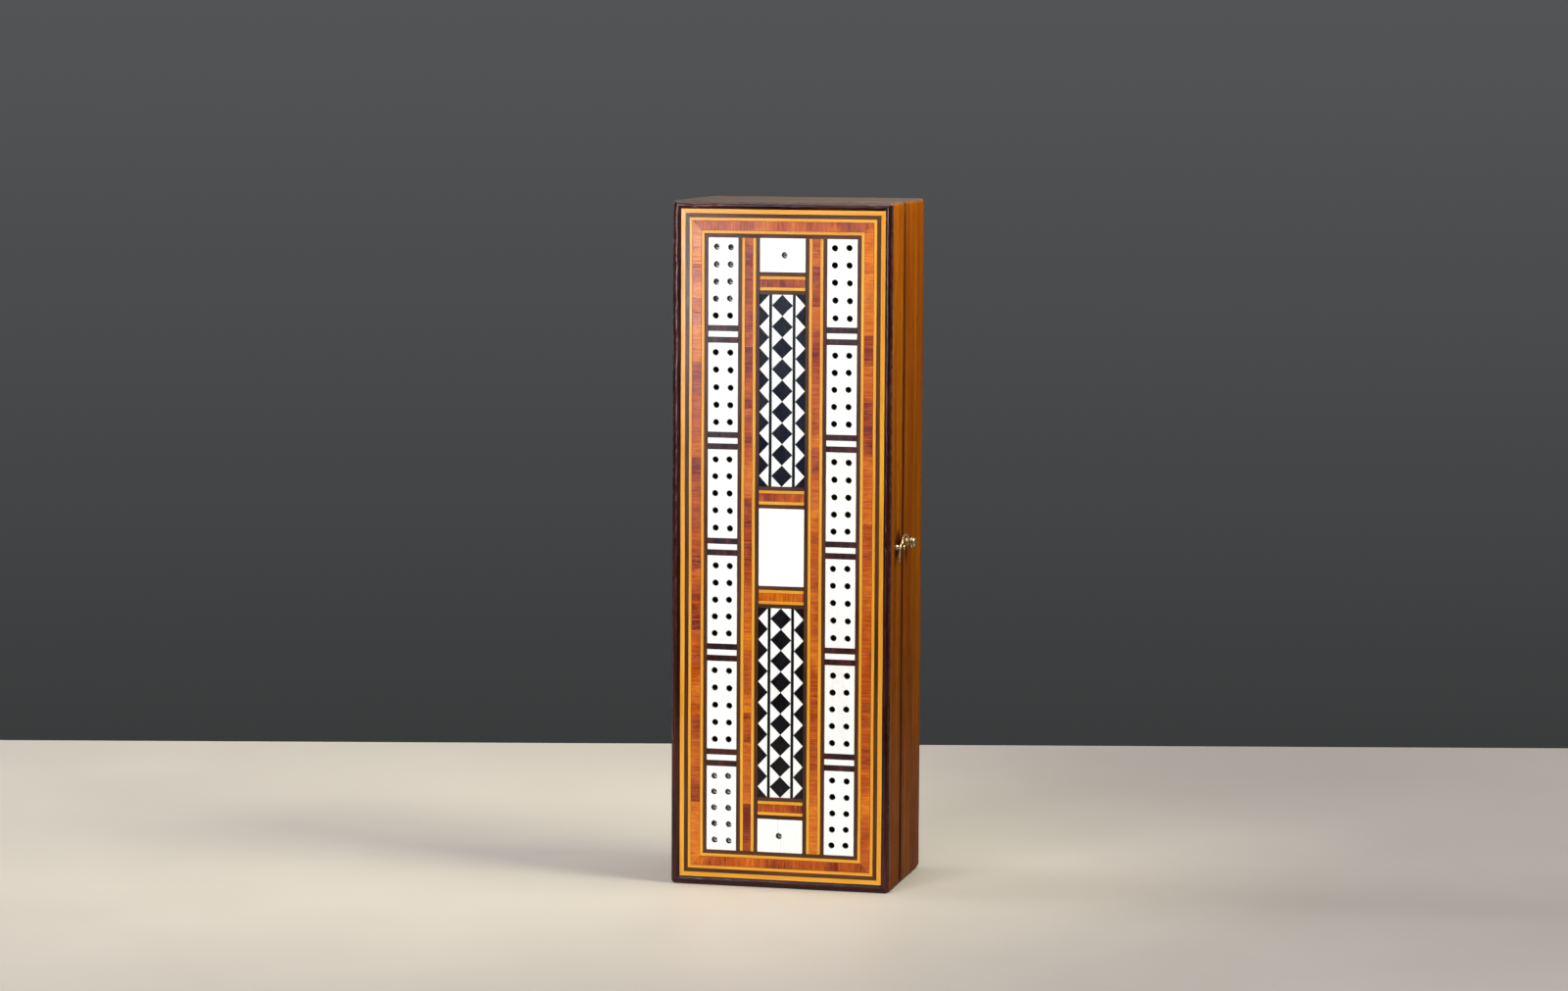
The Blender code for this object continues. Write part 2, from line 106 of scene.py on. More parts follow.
# Peg holes, with depths from the board's face
HOLE_R = 1.24 * MM
HOLE_DEPTH = 6.2 * MM
SHALLOW_DEPTH = 2.3 * MM
PLATE_DRILL_DEPTH = 2.2 * MM
FLARE = 0.12 * MM
COLUMN_OFFSET = 2.85 * MM
ROW_PITCH = 6.75 * MM
LAST_ROW_PITCH = 6.4 * MM
HAND_ERROR = 0.18 * MM
GAME_HOLES = {"game_plate_top": 0.7 * MM, "game_plate_bottom": -0.4 * MM}

# Mosaic columns
RHOMBI = 9
RHOMBUS_HALF = 4.15 * MM
LINE_W = 1.1 * MM

# Side boards: chips, as (z, y, size, depth), and dark patches, as (z, y, half height, half width), in
# millimetres, how far grime and painted shade at the parting and rubbing reach, and the way each side faces
CHIPS = {
    "lid_side_latch": [(262.0, -28.7, 1.6, 0.5), (266.5, -28.6, 2.2, 0.6)],
    "base_side_latch": [(267.0, -7.3, 2.4, 0.6)],
}
DARK_PATCHES = {"lid_side_latch": [(135.5, -15.5, 5.8, 6.5)]}
# How far painted shade, with grime, reaches either side of the parting line between lid and base
PARTING_SHADE_AND_GRIME = 0.8 * MM
RUBBED_W = 0.5 * MM
OUTWARDS = {"left": (-1, 0, 0), "right": (1, 0, 0), "top": (0, 0, 1), "bottom": (0, 0, -1)}

# Hinges, with the screws' turned profiles as (radius, height) in millimetres from the leaf's face
LEAF_T = 1.0 * MM
LEAF_GAP = 0.15 * MM
KNUCKLE_HALF = 4.0 * MM
KNUCKLE_PLAY = 0.1 * MM
HINGE_BORE_R = 0.7 * MM
PIN_R = 0.6 * MM
SCREW_FROM_AXIS = 3.6 * MM
SCREW_FROM_MIDDLE = 8 * MM
SCREW_SPOT = [(1.6, 0.1), (1.45, -0.02), (0.7, -0.75), (0.7, -3)]
SCREW_HEAD = [(0.65, -0.9), (0.65, -0.75), (1.38, -0.06), (1.3, -0.01), (0.0, 0.0)]

# Hook
WIRE_R = 0.5 * MM
EYE_R = 1.75 * MM


# ---------------------------------------------------------------- materials


def node(tree, kind, inputs=None, **props):
    """A new shader node; an input may be a value or another node's output."""
    made = tree.nodes.new("ShaderNode" + kind)
    for key, value in props.items():
        setattr(made, key, value)
    for key, value in (inputs or {}).items():
        if isinstance(value, bpy.types.NodeSocket):
            tree.links.new(value, made.inputs[key])
        else:
            made.inputs[key].default_value = value
    return made


class Look:
    """A material being put together: most methods add a node and return its output."""

    def __init__(self, name, roughness=0.4, metallic=0.0, specular=0.5):
        self.material = bpy.data.materials.new(name)
        self.material.use_nodes = True
        self.tree = self.material.node_tree
        self.shader = self.tree.nodes["Principled BSDF"]
        self.shader.inputs["Roughness"].default_value = roughness
        self.shader.inputs["Metallic"].default_value = metallic
        self.shader.inputs["Specular IOR Level"].default_value = specular

    def attribute(self, name, output="Fac"):
        return node(self.tree, "Attribute", attribute_name=name).outputs[output]

    def grain(self):
        return self.attribute("grain", "Vector")

    def place(self):
        """The mesh's own coordinates, in millimetres."""
        coordinates = node(self.tree, "TexCoord").outputs["Object"]
        return self.stretch(coordinates, (1000, 1000, 1000))

    def stretch(self, vector, factors):
        return node(self.tree, "VectorMath", {0: vector, 1: factors}, operation="MULTIPLY").outputs[0]

    def noise(self, vector, factors, detail=3.0, rough=0.5, twist=0.0):
        inputs = {
            "Vector": self.stretch(vector, factors),
            "Scale": 1.0,
            "Detail": detail,
            "Roughness": rough,
            "Distortion": twist,
        }
        return node(self.tree, "TexNoise", inputs).outputs[0]

    def math(self, operation, a, b=0.0, clamp=False):
        return node(self.tree, "Math", {0: a, 1: b}, operation=operation, use_clamp=clamp).outputs[0]

    def times(self, a, b):
        return self.math("MULTIPLY", a, b)

    def add(self, a, b):
        return self.math("ADD", a, b)

    def with_own_shade(self, shade, strength):
        """A shade from 0 to 1, shifted by the veneer's own tint."""
        own = self.times(self.math("SUBTRACT", self.attribute("tint"), 0.5), strength)
        return self.math("ADD", shade, own, clamp=True)

    def spread(self, value, low, high, to_low=0.0, to_high=1.0):
        inputs = {0: value, 1: low, 2: high, 3: to_low, 4: to_high}
        return node(self.tree, "MapRange", inputs).outputs[0]

    def ramp(self, value, stops):
        made = node(self.tree, "ValToRGB", {0: value})
        elements = made.color_ramp.elements
        while len(elements) < len(stops):
            elements.new(0.5)
        for element, (position, colour) in zip(elements, stops):
            element.position = position
            element.color = (*colour, 1.0)
        return made.outputs[0]

    def mix(self, factor, a, b):
        made = node(self.tree, "Mix", data_type="RGBA")
        for index, value in ((0, factor), (6, a), (7, b)):
            if isinstance(value, bpy.types.NodeSocket):
                self.tree.links.new(value, made.inputs[index])
            elif index == 0:
                made.inputs[0].default_value = value
            else:
                made.inputs[index].default_value = (*value, 1.0)
        return made.outputs[2]

    def colour(self, output):
        self.tree.links.new(output, self.shader.inputs["Base Color"])

    def roughness(self, output):
        self.tree.links.new(output, self.shader.inputs["Roughness"])

    def bump(self, height, distance, strength=1.0):
        inputs = {"Height": height, "Distance": distance, "Strength": strength}
        self.tree.links.new(node(self.tree, "Bump", inputs).outputs[0], self.shader.inputs["Normal"])


# The colour of grime, also used for painted shade along the parting line and for the dark patch beside the
# hook
SHADE_GRIME_COLOUR = (0.030, 0.006, 0.002)
DUST = (0.055, 0.052, 0.050)


def scales(lengthways, across):
    """Noise scales for the three wood coordinates."""
    return (lengthways, across, across)


def wood(name, dark, middle, light, figure=(0.02, 0.25), streak=(0.03, 1.6), fibre=(0.35, 9.0),
         pores=0.5, pore_size=(0.7, 8.0), rough=0.25, tint=0.5, contrast=1.0, worn=None, specular=0.28):
    """A polished wood: broad figure, streaks and fibres along the grain, open pores and a worn edge.

    Figure, streak, fibre and pore size are how often each comes, along the grain and across it.
    """
    look = Look(name, rough, specular=specular)
    grain = look.grain()
    broad = look.noise(grain, scales(*figure), 3.0, 0.55, 0.6)
    lines = look.noise(grain, scales(*streak), 3.0, 0.6, 0.3)
    fine = look.noise(grain, scales(*fibre), 2.0, 0.6)
    shade = look.add(look.times(broad, 0.5), look.times(lines, 0.35))
    shade = look.add(shade, look.times(fine, 0.15))
    shade = look.add(look.times(look.math("SUBTRACT", shade, 0.5), 2.6 * contrast), 0.5)
    colour = look.ramp(look.with_own_shade(shade, tint), [(0.0, dark), (0.5, middle), (1.0, light)])
    pits = look.spread(look.noise(grain, scales(*pore_size), 1.0, 0.5), 0.6, 0.7)
    colour = look.mix(look.times(pits, pores), colour, tuple(c * 0.35 for c in dark))
    patches = look.noise(grain, scales(0.06, 0.09), 4.0, 0.6)
    sheen = look.spread(patches, 0.3, 0.7, rough - 0.07, rough + 0.09)
    sheen = look.add(sheen, look.times(pits, 0.2))
    if worn:
        rubbed = look.noise(grain, scales(0.35, 0.8), 4.0, 0.7)
        rubbed = look.times(look.spread(rubbed, 0.35, 0.65), look.attribute("wear"))
        colour = look.mix(rubbed, colour, worn)
        sheen = look.add(sheen, look.times(rubbed, 0.15))
    # Grime and painted shade darken the colour where the layer marks it: along the parting line and beside
    # the hook
    shade_and_grime = look.times(look.attribute("shade_and_dirt"), look.spread(patches, 0.2, 0.6, 0.7, 1.0))
    colour = look.mix(shade_and_grime, colour, SHADE_GRIME_COLOUR)
    film = look.noise(look.place(), (0.35, 0.35, 0.35), 4.0, 0.7)
    film = look.times(look.spread(film, 0.3, 0.7, 0.7, 1.0), look.attribute("dust"))
    colour = look.mix(film, colour, DUST)
    sheen = look.add(sheen, look.times(film, 0.3))
    look.colour(colour)
    look.roughness(look.add(sheen, look.times(shade_and_grime, 0.25)))
    height = look.math("SUBTRACT", look.times(fine, 0.35), pits)
    look.bump(height, 0.02 * MM, 0.6)
    return look.material


def bone():
    """Old bone: near white, with faint streaks, tiny vessel marks, and dirt with painted shade down its
    holes.
    """
    look = Look("bone", 0.28, specular=0.4)
    grain = look.grain()
    cloud = look.noise(grain, scales(0.02, 0.05), 3.0, 0.5)
    streaks = look.noise(grain, scales(0.05, 1.1), 3.0, 0.6)
    shade = look.with_own_shade(look.add(look.times(cloud, 0.6), look.times(streaks, 0.4)), 0.5)
    stops = [(0.2, (0.80, 0.755, 0.66)), (0.55, (0.93, 0.92, 0.885)), (1.0, (0.95, 0.945, 0.93))]
    colour = look.ramp(shade, stops)
    marks = look.spread(look.noise(grain, scales(0.5, 6.0), 1.0, 0.5), 0.68, 0.76)
    colour = look.mix(look.times(marks, 0.2), colour, (0.42, 0.33, 0.22))
    # Dirt and painted shade, darker down each hole's wall
    shade_and_dirt = look.noise(look.place(), (0.9, 0.9, 0.9), 3.0, 0.7)
    shade_and_dirt = look.times(look.spread(shade_and_dirt, 0.3, 0.7, 0.35, 1.0), look.attribute("shade_and_dirt"))
    colour = look.mix(shade_and_dirt, colour, (0.20, 0.13, 0.07))
    look.colour(colour)
    patches = look.noise(grain, scales(0.08, 0.12), 4.0, 0.6)
    look.roughness(look.spread(patches, 0.3, 0.7, 0.22, 0.34))
    look.bump(look.times(marks, -1.0), 0.01 * MM, 0.4)
    return look.material


def brass():
    """Aged brass: darker and rougher where it has tarnished, with fine scratches."""
    look = Look("brass", 0.3, metallic=1.0)
    place = look.place()
    tarnish = look.noise(place, (0.3, 0.3, 0.3), 4.0, 0.55)
    patchy = look.spread(tarnish, 0.3, 0.75)
    stops = [(0.0, (0.78, 0.66, 0.42)), (0.55, (0.46, 0.35, 0.19)), (1.0, (0.09, 0.06, 0.035))]
    look.colour(look.ramp(patchy, stops))
    scratches = look.noise(place, (9.0, 1.2, 9.0), 2.0, 0.6)
    look.roughness(look.add(look.spread(patchy, 0.0, 1.0, 0.18, 0.5), look.times(scratches, 0.1)))
    look.bump(look.add(scratches, tarnish), 0.02 * MM, 0.35)
    return look.material


def stage_look(name, colour, rough):
    """The plain table that the case stands on, with a faint mottle."""
    look = Look(name, rough, specular=0.3)
    cloud = look.noise(look.place(), (0.012, 0.012, 0.012), 4.0, 0.6)
    look.colour(look.mix(look.spread(cloud, 0.3, 0.7), tuple(c * 0.96 for c in colour), colour))
    look.roughness(look.spread(cloud, 0.3, 0.7, rough - 0.04, rough + 0.04))
    return look.material


LOOKS = {
    "bone": bone(),
    "brass": brass(),
    "boxwood": wood(
        "boxwood", (0.58, 0.20, 0.010), (0.76, 0.33, 0.022), (0.86, 0.46, 0.06),
        pores=0.12, contrast=0.8, rough=0.15, tint=0.6, specular=0.25,
    ),
    "kingwood": wood(
        "kingwood", (0.15, 0.009, 0.001), (0.49, 0.086, 0.002), (0.74, 0.21, 0.007),
        figure=(0.05, 0.06), streak=(0.12, 1.7), fibre=(0.3, 6.0), pores=0.6, pore_size=(0.3, 4.0),
        rough=0.14, tint=0.8, contrast=1.35, specular=0.25,
    ),
    "rosewood": wood(
        "rosewood", (0.007, 0.0010, 0.0007), (0.024, 0.0036, 0.0022), (0.095, 0.018, 0.010),
        figure=(0.015, 0.35), streak=(0.05, 1.8), pores=0.6, pore_size=(0.4, 5.0),
        rough=0.17, contrast=1.3, worn=(0.09, 0.040, 0.030), specular=0.22,
    ),
    "string": wood(
        "string", (0.030, 0.009, 0.003), (0.072, 0.025, 0.008), (0.13, 0.052, 0.020),
        streak=(0.04, 2.2), pores=0.3, rough=0.15, tint=0.7, specular=0.17,
    ),
    "ebony": wood(
        "ebony", (0.0022, 0.0018, 0.0022), (0.0042, 0.0034, 0.0040), (0.010, 0.008, 0.009),
        streak=(0.05, 2.5), pores=0.2, rough=0.11, tint=0.6, specular=0.15,
    ),
    "mahogany": wood(
        "mahogany", (0.085, 0.014, 0.0005), (0.180, 0.045, 0.001), (0.34, 0.118, 0.003),
        figure=(0.006, 0.14), streak=(0.012, 0.6), fibre=(0.12, 5.0), pores=0.5, pore_size=(0.12, 3.4),
        rough=0.46, tint=0.5, contrast=1.0, worn=(0.45, 0.22, 0.08), specular=0.015,
    ),
    "deal": wood(
        "deal", (0.36, 0.20, 0.09), (0.52, 0.33, 0.16), (0.62, 0.44, 0.25),
        figure=(0.006, 0.10), streak=(0.008, 0.35), pores=0.15, rough=0.6, specular=0.25,
    ),
    # The peg holes' bores: painted dark for the shade inside them, with old dirt; the light end gives the
    # pale hole bottoms
    "shaded_bore": wood(
        "shaded_bore", (0.012, 0.007, 0.005), (0.04, 0.022, 0.014), (0.72, 0.69, 0.64),
        figure=(0.5, 0.5), streak=(1.2, 1.2), pores=0.3, rough=0.7, tint=1.6, specular=0.3,
    ),
}


# ---------------------------------------------------------------- shapes


class Shape:
    """A mesh in the making, with its grain, tint, wear and dust layers and a layer of dirt with painted
    shade.
    """

    def __init__(self, source=None):
        self.bm = bmesh.new()
        if source:
            self.bm.from_mesh(source)
        faces, verts, loops = self.bm.faces.layers, self.bm.verts.layers, self.bm.loops.layers
        self.tint = faces.float.get("tint") or faces.float.new("tint")
        self.wear = verts.float.get("wear") or verts.float.new("wear")
        # Dirt, with shade painted down the peg holes and along the parting line, and a dark patch beside the
        # hook
        self.shade_and_dirt = verts.float.get("shade_and_dirt") or verts.float.new("shade_and_dirt")
        self.dust = verts.float.get("dust") or verts.float.new("dust")
        self.grain = loops.float_vector.get("grain") or loops.float_vector.new("grain")

    def loft(self, loops, wrap=False, caps=True):
        """Quads between closed loops of points; wrap joins the last loop to the first."""
        rows = [[self.bm.verts.new(point) for point in loop] for loop in loops]
        pairs = list(zip(rows, rows[1:]))
        if wrap:
            pairs.append((rows[-1], rows[0]))
        faces = []
        for low, high in pairs:
            for i in range(len(low)):
                j = (i + 1) % len(low)
                faces.append(self.bm.faces.new((low[i], low[j], high[j], high[i])))
        if caps and not wrap:
            faces.append(self.bm.faces.new(rows[0][::-1]))
            faces.append(self.bm.faces.new(rows[-1]))
        return faces

    def paint(self, axis, seed=0.0, tint=0.5, look=None, faces=None):
        """Give faces their wood coordinates, with the grain along one axis, and their shade."""
        order = {"x": (0, 2, 1), "y": (1, 0, 2), "z": (2, 0, 1)}[axis]
        shift = Vector((71.3, 13.7, 5.9)) * seed
        for face in faces or self.bm.faces:
            face[self.tint] = tint
            if look is not None:
                face.material_index = look
            for loop in face.loops:
                place = loop.vert.co
                loop[self.grain] = Vector([place[i] for i in order]) / MM + shift

    def mark(self, layer, amount):
        """Raise a layer (wear, dust, or dirt with painted shade) at each point, to an amount found from its
        place.
        """
        for vert in self.bm.verts:
            vert[layer] = max(vert[layer], unit(amount(vert.co)))

    def mesh(self, name):
        bmesh.ops.recalc_face_normals(self.bm, faces=self.bm.faces)
        made = bpy.data.meshes.new(name)
        self.bm.to_mesh(made)
        self.bm.free()
        return made


def link(name, mesh):
    """A new object in the scene."""
    item = bpy.data.objects.new(name, mesh)
    bpy.context.scene.collection.objects.link(item)
    return item


def boolean(body, tool, operation="DIFFERENCE"):
    """The shape left when the tool is cut from the body, or joined to it."""
    items = []
    for shape in (body, tool):
        mesh = shape.mesh("working")
        mesh.materials.append(None)
        mesh.materials.append(None)
        items.append(link("working", mesh))
    modifier = items[0].modifiers.new("working", "BOOLEAN")
    modifier.object = items[1]
    modifier.operation = operation
    modifier.solver = "EXACT"
    bpy.context.view_layer.update()
    evaluated = items[0].evaluated_get(bpy.context.evaluated_depsgraph_get())
    result = Shape(evaluated.to_mesh())
    evaluated.to_mesh_clear()
    for item in items:
        mesh = item.data
        bpy.data.objects.remove(item)
        bpy.data.meshes.remove(mesh)
    return result


def piece(name, shape, looks, body, stands_for=(), sharp=32):
    """Turn a shape into a visible piece that rides on a body, with its looks as its materials in order."""
    mesh = shape.mesh(name)
    for look in looks:
        mesh.materials.append(LOOKS[look])
    mesh.shade_smooth()
    mesh.set_sharp_from_angle(angle=radians(sharp))
    item = link(name, mesh)
    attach(item, body)
    if stands_for:
        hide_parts(*stands_for)


def unit(value):
    """A value held between 0 and 1."""
    return min(1.0, max(0.0, value))


def soft(x, y, z, size):
    """Smooth noise between -1 and 1, with bumps about the given size apart."""
    return noise.noise(Vector((x, y, z)) / size)


def on_face(x, z, depth=0.0):
    """A point of the board's face: crowned towards the edges, its lines a little wavy."""
    edge = min(HALF_W - abs(x), z, CASE_H - z)
    drop = CROWN * max(0.0, 1.0 - edge / CROWN_REACH) ** 2
    dx = WANDER * soft(x, 0.3, z, 24 * MM)
    dz = WANDER * soft(x, 7.7, z, 24 * MM)
    return Vector((x + dx, FRONT + drop + depth, z + dz))


def strip(shape, stations, axis, tints):
    """A bar of inlay: each station is a pair of (x, z) points, and the front edges are eased."""
    seed, tint, lift = RNG.uniform(0, 90), tints(), RNG.uniform(0, 0.02) * MM
    loops = []
    for (ax, az), (bx, bz) in stations:
        eased = EASE / math.hypot(bx - ax, bz - az)
        loop = []
        for across, depth in ((0, None), (0, EASE), (eased, 0), (1 - eased, 0), (1, EASE), (1, None)):
            point = on_face(ax + (bx - ax) * across, az + (bz - az) * across, lift + (depth or 0.0))
            if depth is None:
                point.y = SKIN_BACK
            loop.append(point)
        loops.append(loop)
    shape.paint(axis, seed, tint, faces=shape.loft(loops))


def steps(start, end, spacing):
    """Evenly spaced values from start to end, both included."""
    count = max(1, round(abs(end - start) / spacing))
    return [start + (end - start) * i / count for i in range(count + 1)]


def cuts(start, end, shortest, longest):
    """Joints at random distances along a strip made of short lengths."""
    places = [start]
    while end - places[-1] > longest:
        places.append(places[-1] + RNG.uniform(shortest, longest))
    return places + [end]


SIDES = ("bottom", "top", "left", "right")


def side_length(rect, side):
    return rect[1] - rect[0] if side in ("bottom", "top") else rect[3] - rect[2]


def side_place(rect, side, along, inset):
    """The (x, z) point of a distance along one side of a rectangle and an inset from that side."""
    left, right, bottom, top = rect
    if side == "bottom":
        return (left + along, bottom + inset)
    if side == "top":
        return (left + along, top - inset)
    if side == "left":
        return (left + inset, bottom + along)
    return (right - inset, bottom + along)


def frame_side(shape, side, outer, inner, joints, grain_across, tints):
    """One mitred side of a frame of inlay, cut at the joints into lengths of different shade."""
    length = side_length(INLAY_RECT, side)
    along_axis = "x" if side in ("bottom", "top") else "z"
    axis = {"x": "z", "z": "x"}[along_axis] if grain_across else along_axis
    for number, (start, end) in enumerate(zip(joints, joints[1:])):
        first = start if number == 0 else start + 0.5 * HAIR
        last = end if number == len(joints) - 2 else end - 0.5 * HAIR
        places = steps(first, last, STATION_PITCH)
        places += [place for place in (inner, length - inner) if first < place < last]
        stations = []
        for along in sorted(places):
            held = min(max(along, inner), length - inner)
            ends = (side_place(INLAY_RECT, side, along, outer), side_place(INLAY_RECT, side, held, inner))
            stations.append(ends)
        strip(shape, stations, axis, tints)


def bar(shape, x_range, z_range, along, tints, grain_across=False, segments=None):
    """A straight bar of inlay between two heights and two widths, perhaps in several lengths."""
    low_x, high_x = x_range[0] + HAIR, x_range[1] - HAIR
    low_z, high_z = z_range[0] + HAIR, z_range[1] - HAIR
    axis = {"x": "z", "z": "x"}[along] if grain_across else along
    ends = (low_x, high_x) if along == "x" else (low_z, high_z)
    joints = cuts(*ends, *segments) if segments else list(ends)
    for start, end in zip(joints, joints[1:]):
        places = steps(start + 0.5 * HAIR, end - 0.5 * HAIR, STATION_PITCH)
        if along == "x":
            stations = [((place, low_z), (place, high_z)) for place in places]
        else:
            stations = [((low_x, place), (high_x, place)) for place in places]
        strip(shape, stations, axis, tints)


def tessera(shape, corners, tint):
    """A small inlaid triangle or rhombus, its joint a hair wide and its edges eased."""
    count = len(corners)
    sides = [math.dist(corners[i], corners[(i + 1) % count]) for i in range(count)]
    area = sum(a[0] * b[1] - b[0] * a[1] for a, b in zip(corners, corners[1:] + corners[:1])) / 2
    inner_r = 2 * abs(area) / sum(sides)
    weights = [sides[(i + 1) % count] for i in range(count)] if count == 3 else [1.0] * count
    middle = [sum(w * c[k] for w, c in zip(weights, corners)) / sum(weights) for k in (0, 1)]
    loops = []
    for inset, depth in ((HAIR, None), (HAIR, EASE), (HAIR + EASE, 0.0)):
        scale = 1 - inset / inner_r
        loop = []
        for corner in corners:
            point = on_face(*(m + (c - m) * scale for m, c in zip(middle, corner)), depth or 0)
            if depth is None:
                point.y = SKIN_BACK
            loop.append(point)
        loops.append(loop)
    shape.paint("z", RNG.uniform(0, 90), tint, faces=shape.loft(loops))


def block(low, high, ease):
    """A board with its edges eased all round, as loops stacked along Y."""
    shape = Shape()
    slight = 0.3 * ease
    loops = []
    for y, inset in (
        (low.y, ease), (low.y + slight, slight), (low.y + ease, 0.0),
        (high.y - ease, 0.0), (high.y - slight, slight), (high.y, ease),
    ):
        x0, x1 = low.x + inset, high.x - inset
        z0, z1 = low.z + inset, high.z - inset
        loop = []
        for x, z, corner in ((x0, z0, 2), (x1, z0, 3), (x1, z1, 0), (x0, z1, 1)):
            centre = (x + ease * (1 if x == x0 else -1), z + ease * (1 if z == z0 else -1))
            for i in range(3):
                angle = pi / 2 * (corner + i / 2)
                over, up = ease * cos(angle), ease * sin(angle)
                loop.append(Vector((centre[0] + over, y, centre[1] + up)))
        loops.append(loop)
    shape.loft(loops)
    return shape


def in_mm(pairs):
    """Pairs of millimetres in metres."""
    return [(a * MM, b * MM) for a, b in pairs]


def around(count):
    """The cosines and sines of evenly spaced angles, once round."""
    angles = [2 * pi * i / count for i in range(count)]
    return [(cos(angle), sin(angle)) for angle in angles]


def turned(profile, matrix, sides=32, shape=None):
    """A turned body: the profile is (radius, height) points from one end to the other."""
    shape = shape or Shape()
    loops = []
    for radius, height in profile:
        r = max(radius, POINT_R)
        loops.append([matrix @ Vector((r * c, r * s, height)) for c, s in around(sides)])
    shape.loft(loops)
    return shape


def wire(points, radii, sides=16, closed=False):
    """A round wire whose centreline lies in a plane of constant x."""
    loops = []
    count = len(points)
    out = Vector((1, 0, 0))
    for i, point in enumerate(points):
        before = points[(i - 1) % count] if closed or i else point
        after = points[(i + 1) % count] if closed or i < count - 1 else point
        along = (after - before).normalized()
        across = along.cross(out)
        loops.append([point + radii[i] * (c * out + s * across) for c, s in around(sides)])
    shape = Shape()
    shape.loft(loops, wrap=closed)
    return shape


# ---------------------------------------------------------------- the board's face


def ring_points(rect, radius):
    """Points round a rectangle with rounded corners, close together along its sides."""
    left, right, bottom, top = rect
    corners = ((right, bottom, 270), (right, top, 0), (left, top, 90), (left, bottom, 180))
    arcs = []
    for x, z, turn in corners:
        cx = x - radius if x == right else x + radius
        cz = z - radius if z == top else z + radius
        angles = [radians(turn + 15 * i) for i in range(7)]
        arcs.append([(cx + radius * cos(a), cz + radius * sin(a)) for a in angles])
    points = []
    for number, arc in enumerate(arcs):
        start, end = arc[-1], arcs[(number + 1) % 4][0]
        count = 54 if number % 2 else 166
        points += arc[:-1]
        points += [tuple(a + (b - a) * i / count for a, b in zip(start, end)) for i in range(count)]
    return points


def rubbed_point(x, z, depth):
    """A point near the board's outer arris, pushed in where the edge is dented and rubbed down."""
    point = on_face(x, z, depth)
    dent = max(0.0, soft(x, depth * 3, z, 2.6 * MM) - 0.12) * 0.24 * MM
    dent += max(0.0, soft(x, 5.0, z, 11 * MM)) * 0.16 * MM
    point.y += dent
    near = 2 * MM
    point.x -= math.copysign(dent, x) * (HALF_W - abs(x) < near)
    point.z += dent * ((z < near) - (CASE_H - z < near))
    return point


def dusty(place):
    """Dust lies on the end that stands uppermost."""
    return (place.z - CASE_H + 0.9 * MM) / (0.6 * MM)


def rubbed_through(place):
    """Wear on the arris: more the further a point has fallen behind the face, none at the back."""
    hidden = place.y > SKIN_BACK - 0.05 * MM
    return 0 if hidden else (place.y - FRONT - 0.35 * MM) / (0.6 * MM)


def make_border():
    """The rosewood edging: a mitred frame with a rubbed, rounded outer arris."""
    full = SKIN_BACK - FRONT
    loops = []
    for grow, depth in ((HAIR, full), (HAIR, EASE), (HAIR + EASE, 0.0)):
        rect = [place + side * grow for place, side in zip(INLAY_RECT, (-1, 1, -1, 1))]
        loops.append([on_face(x, z, depth) for x, z in ring_points(rect, SHARP_R)])
    rounding = [radians(18 * i) for i in range(6)]
    profile = [(ARRIS_W * (1 - sin(a)), ARRIS_D * (1 - cos(a))) for a in rounding]
    for inset, depth in profile:
        rect = [place - side * inset for place, side in zip(CASE_RECT, (-1, 1, -1, 1))]
        radius = max(CORNER_R - inset, SHARP_R)
        loops.append([rubbed_point(x, z, depth) for x, z in ring_points(rect, radius)])
    loops.append([Vector((x, SKIN_BACK, z)) for x, z in ring_points(CASE_RECT, CORNER_R)])
    for point in loops[0]:
        point.y = SKIN_BACK
    shape = Shape()
    for face in shape.loft(loops, wrap=True):
        middle = face.calc_center_median()
        upright = HALF_W - abs(middle.x) < min(middle.z, CASE_H - middle.z)
        shape.paint("z" if upright else "x", 3 if upright else 8, 0.5, faces=[face])
    shape.mark(shape.wear, rubbed_through)
    shape.mark(shape.dust, dusty)
    piece("rosewood_border", shape, ["rosewood"], "lid", ["rosewood_border"], sharp=50)


def make_perimeter():
    """The banding round the board: six mitred lines, the kingwood one in short cross-grained lengths."""
    inset = 0.0
    for number, (name, width, look) in enumerate(PERIMETER):
        shape = Shape()
        outer = inset + HAIR
        inset += width * MM
        for side in SIDES:
            length = side_length(INLAY_RECT, side)
            crosswise = look == "kingwood"
            joints = [outer, length - outer]
            if crosswise:
                joints = cuts(outer, length - outer, 8 * MM, 30 * MM)
            tints = (lambda: RNG.uniform(0.15, 0.85)) if crosswise else (lambda: RNG.uniform(0.35, 0.65))
            frame_side(shape, side, outer, inset - HAIR, joints, crosswise, tints)
        stands_for = ["perimeter_banding"] if number == 0 else []
        piece(f"perimeter_{name}", shape, [look], "lid", stands_for)


def bay(name):
    """The x and z ranges of the bay that a piece of inlay fills."""
    low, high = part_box(name)
    return (low.x - CLEARANCE, high.x + CLEARANCE), (low.z - CLEARANCE, high.z + CLEARANCE)


def make_band(name, along):
    """A five-line banding, strings outside, then boxwood, with kingwood in the middle."""
    x_range, z_range = bay(name)
    shapes = {look: Shape() for look in ("string", "boxwood", "kingwood")}
    across = x_range if along == "z" else z_range
    start = across[0]
    for look, width in BAND:
        span = (start, start + width * MM)
        start = span[1]
        ranges = (span, z_range) if along == "z" else (x_range, span)
        if look == "kingwood":
            bar(shapes[look], *ranges, along, lambda: RNG.uniform(0.15, 0.65), True, (7 * MM, 26 * MM))
        else:
            bar(shapes[look], *ranges, along, lambda: RNG.uniform(0.35, 0.65))
    for look, shape in shapes.items():
        stands_for = [name] if look == "kingwood" else []
        piece(f"{name}_{look}", shape, [look], "lid", stands_for)


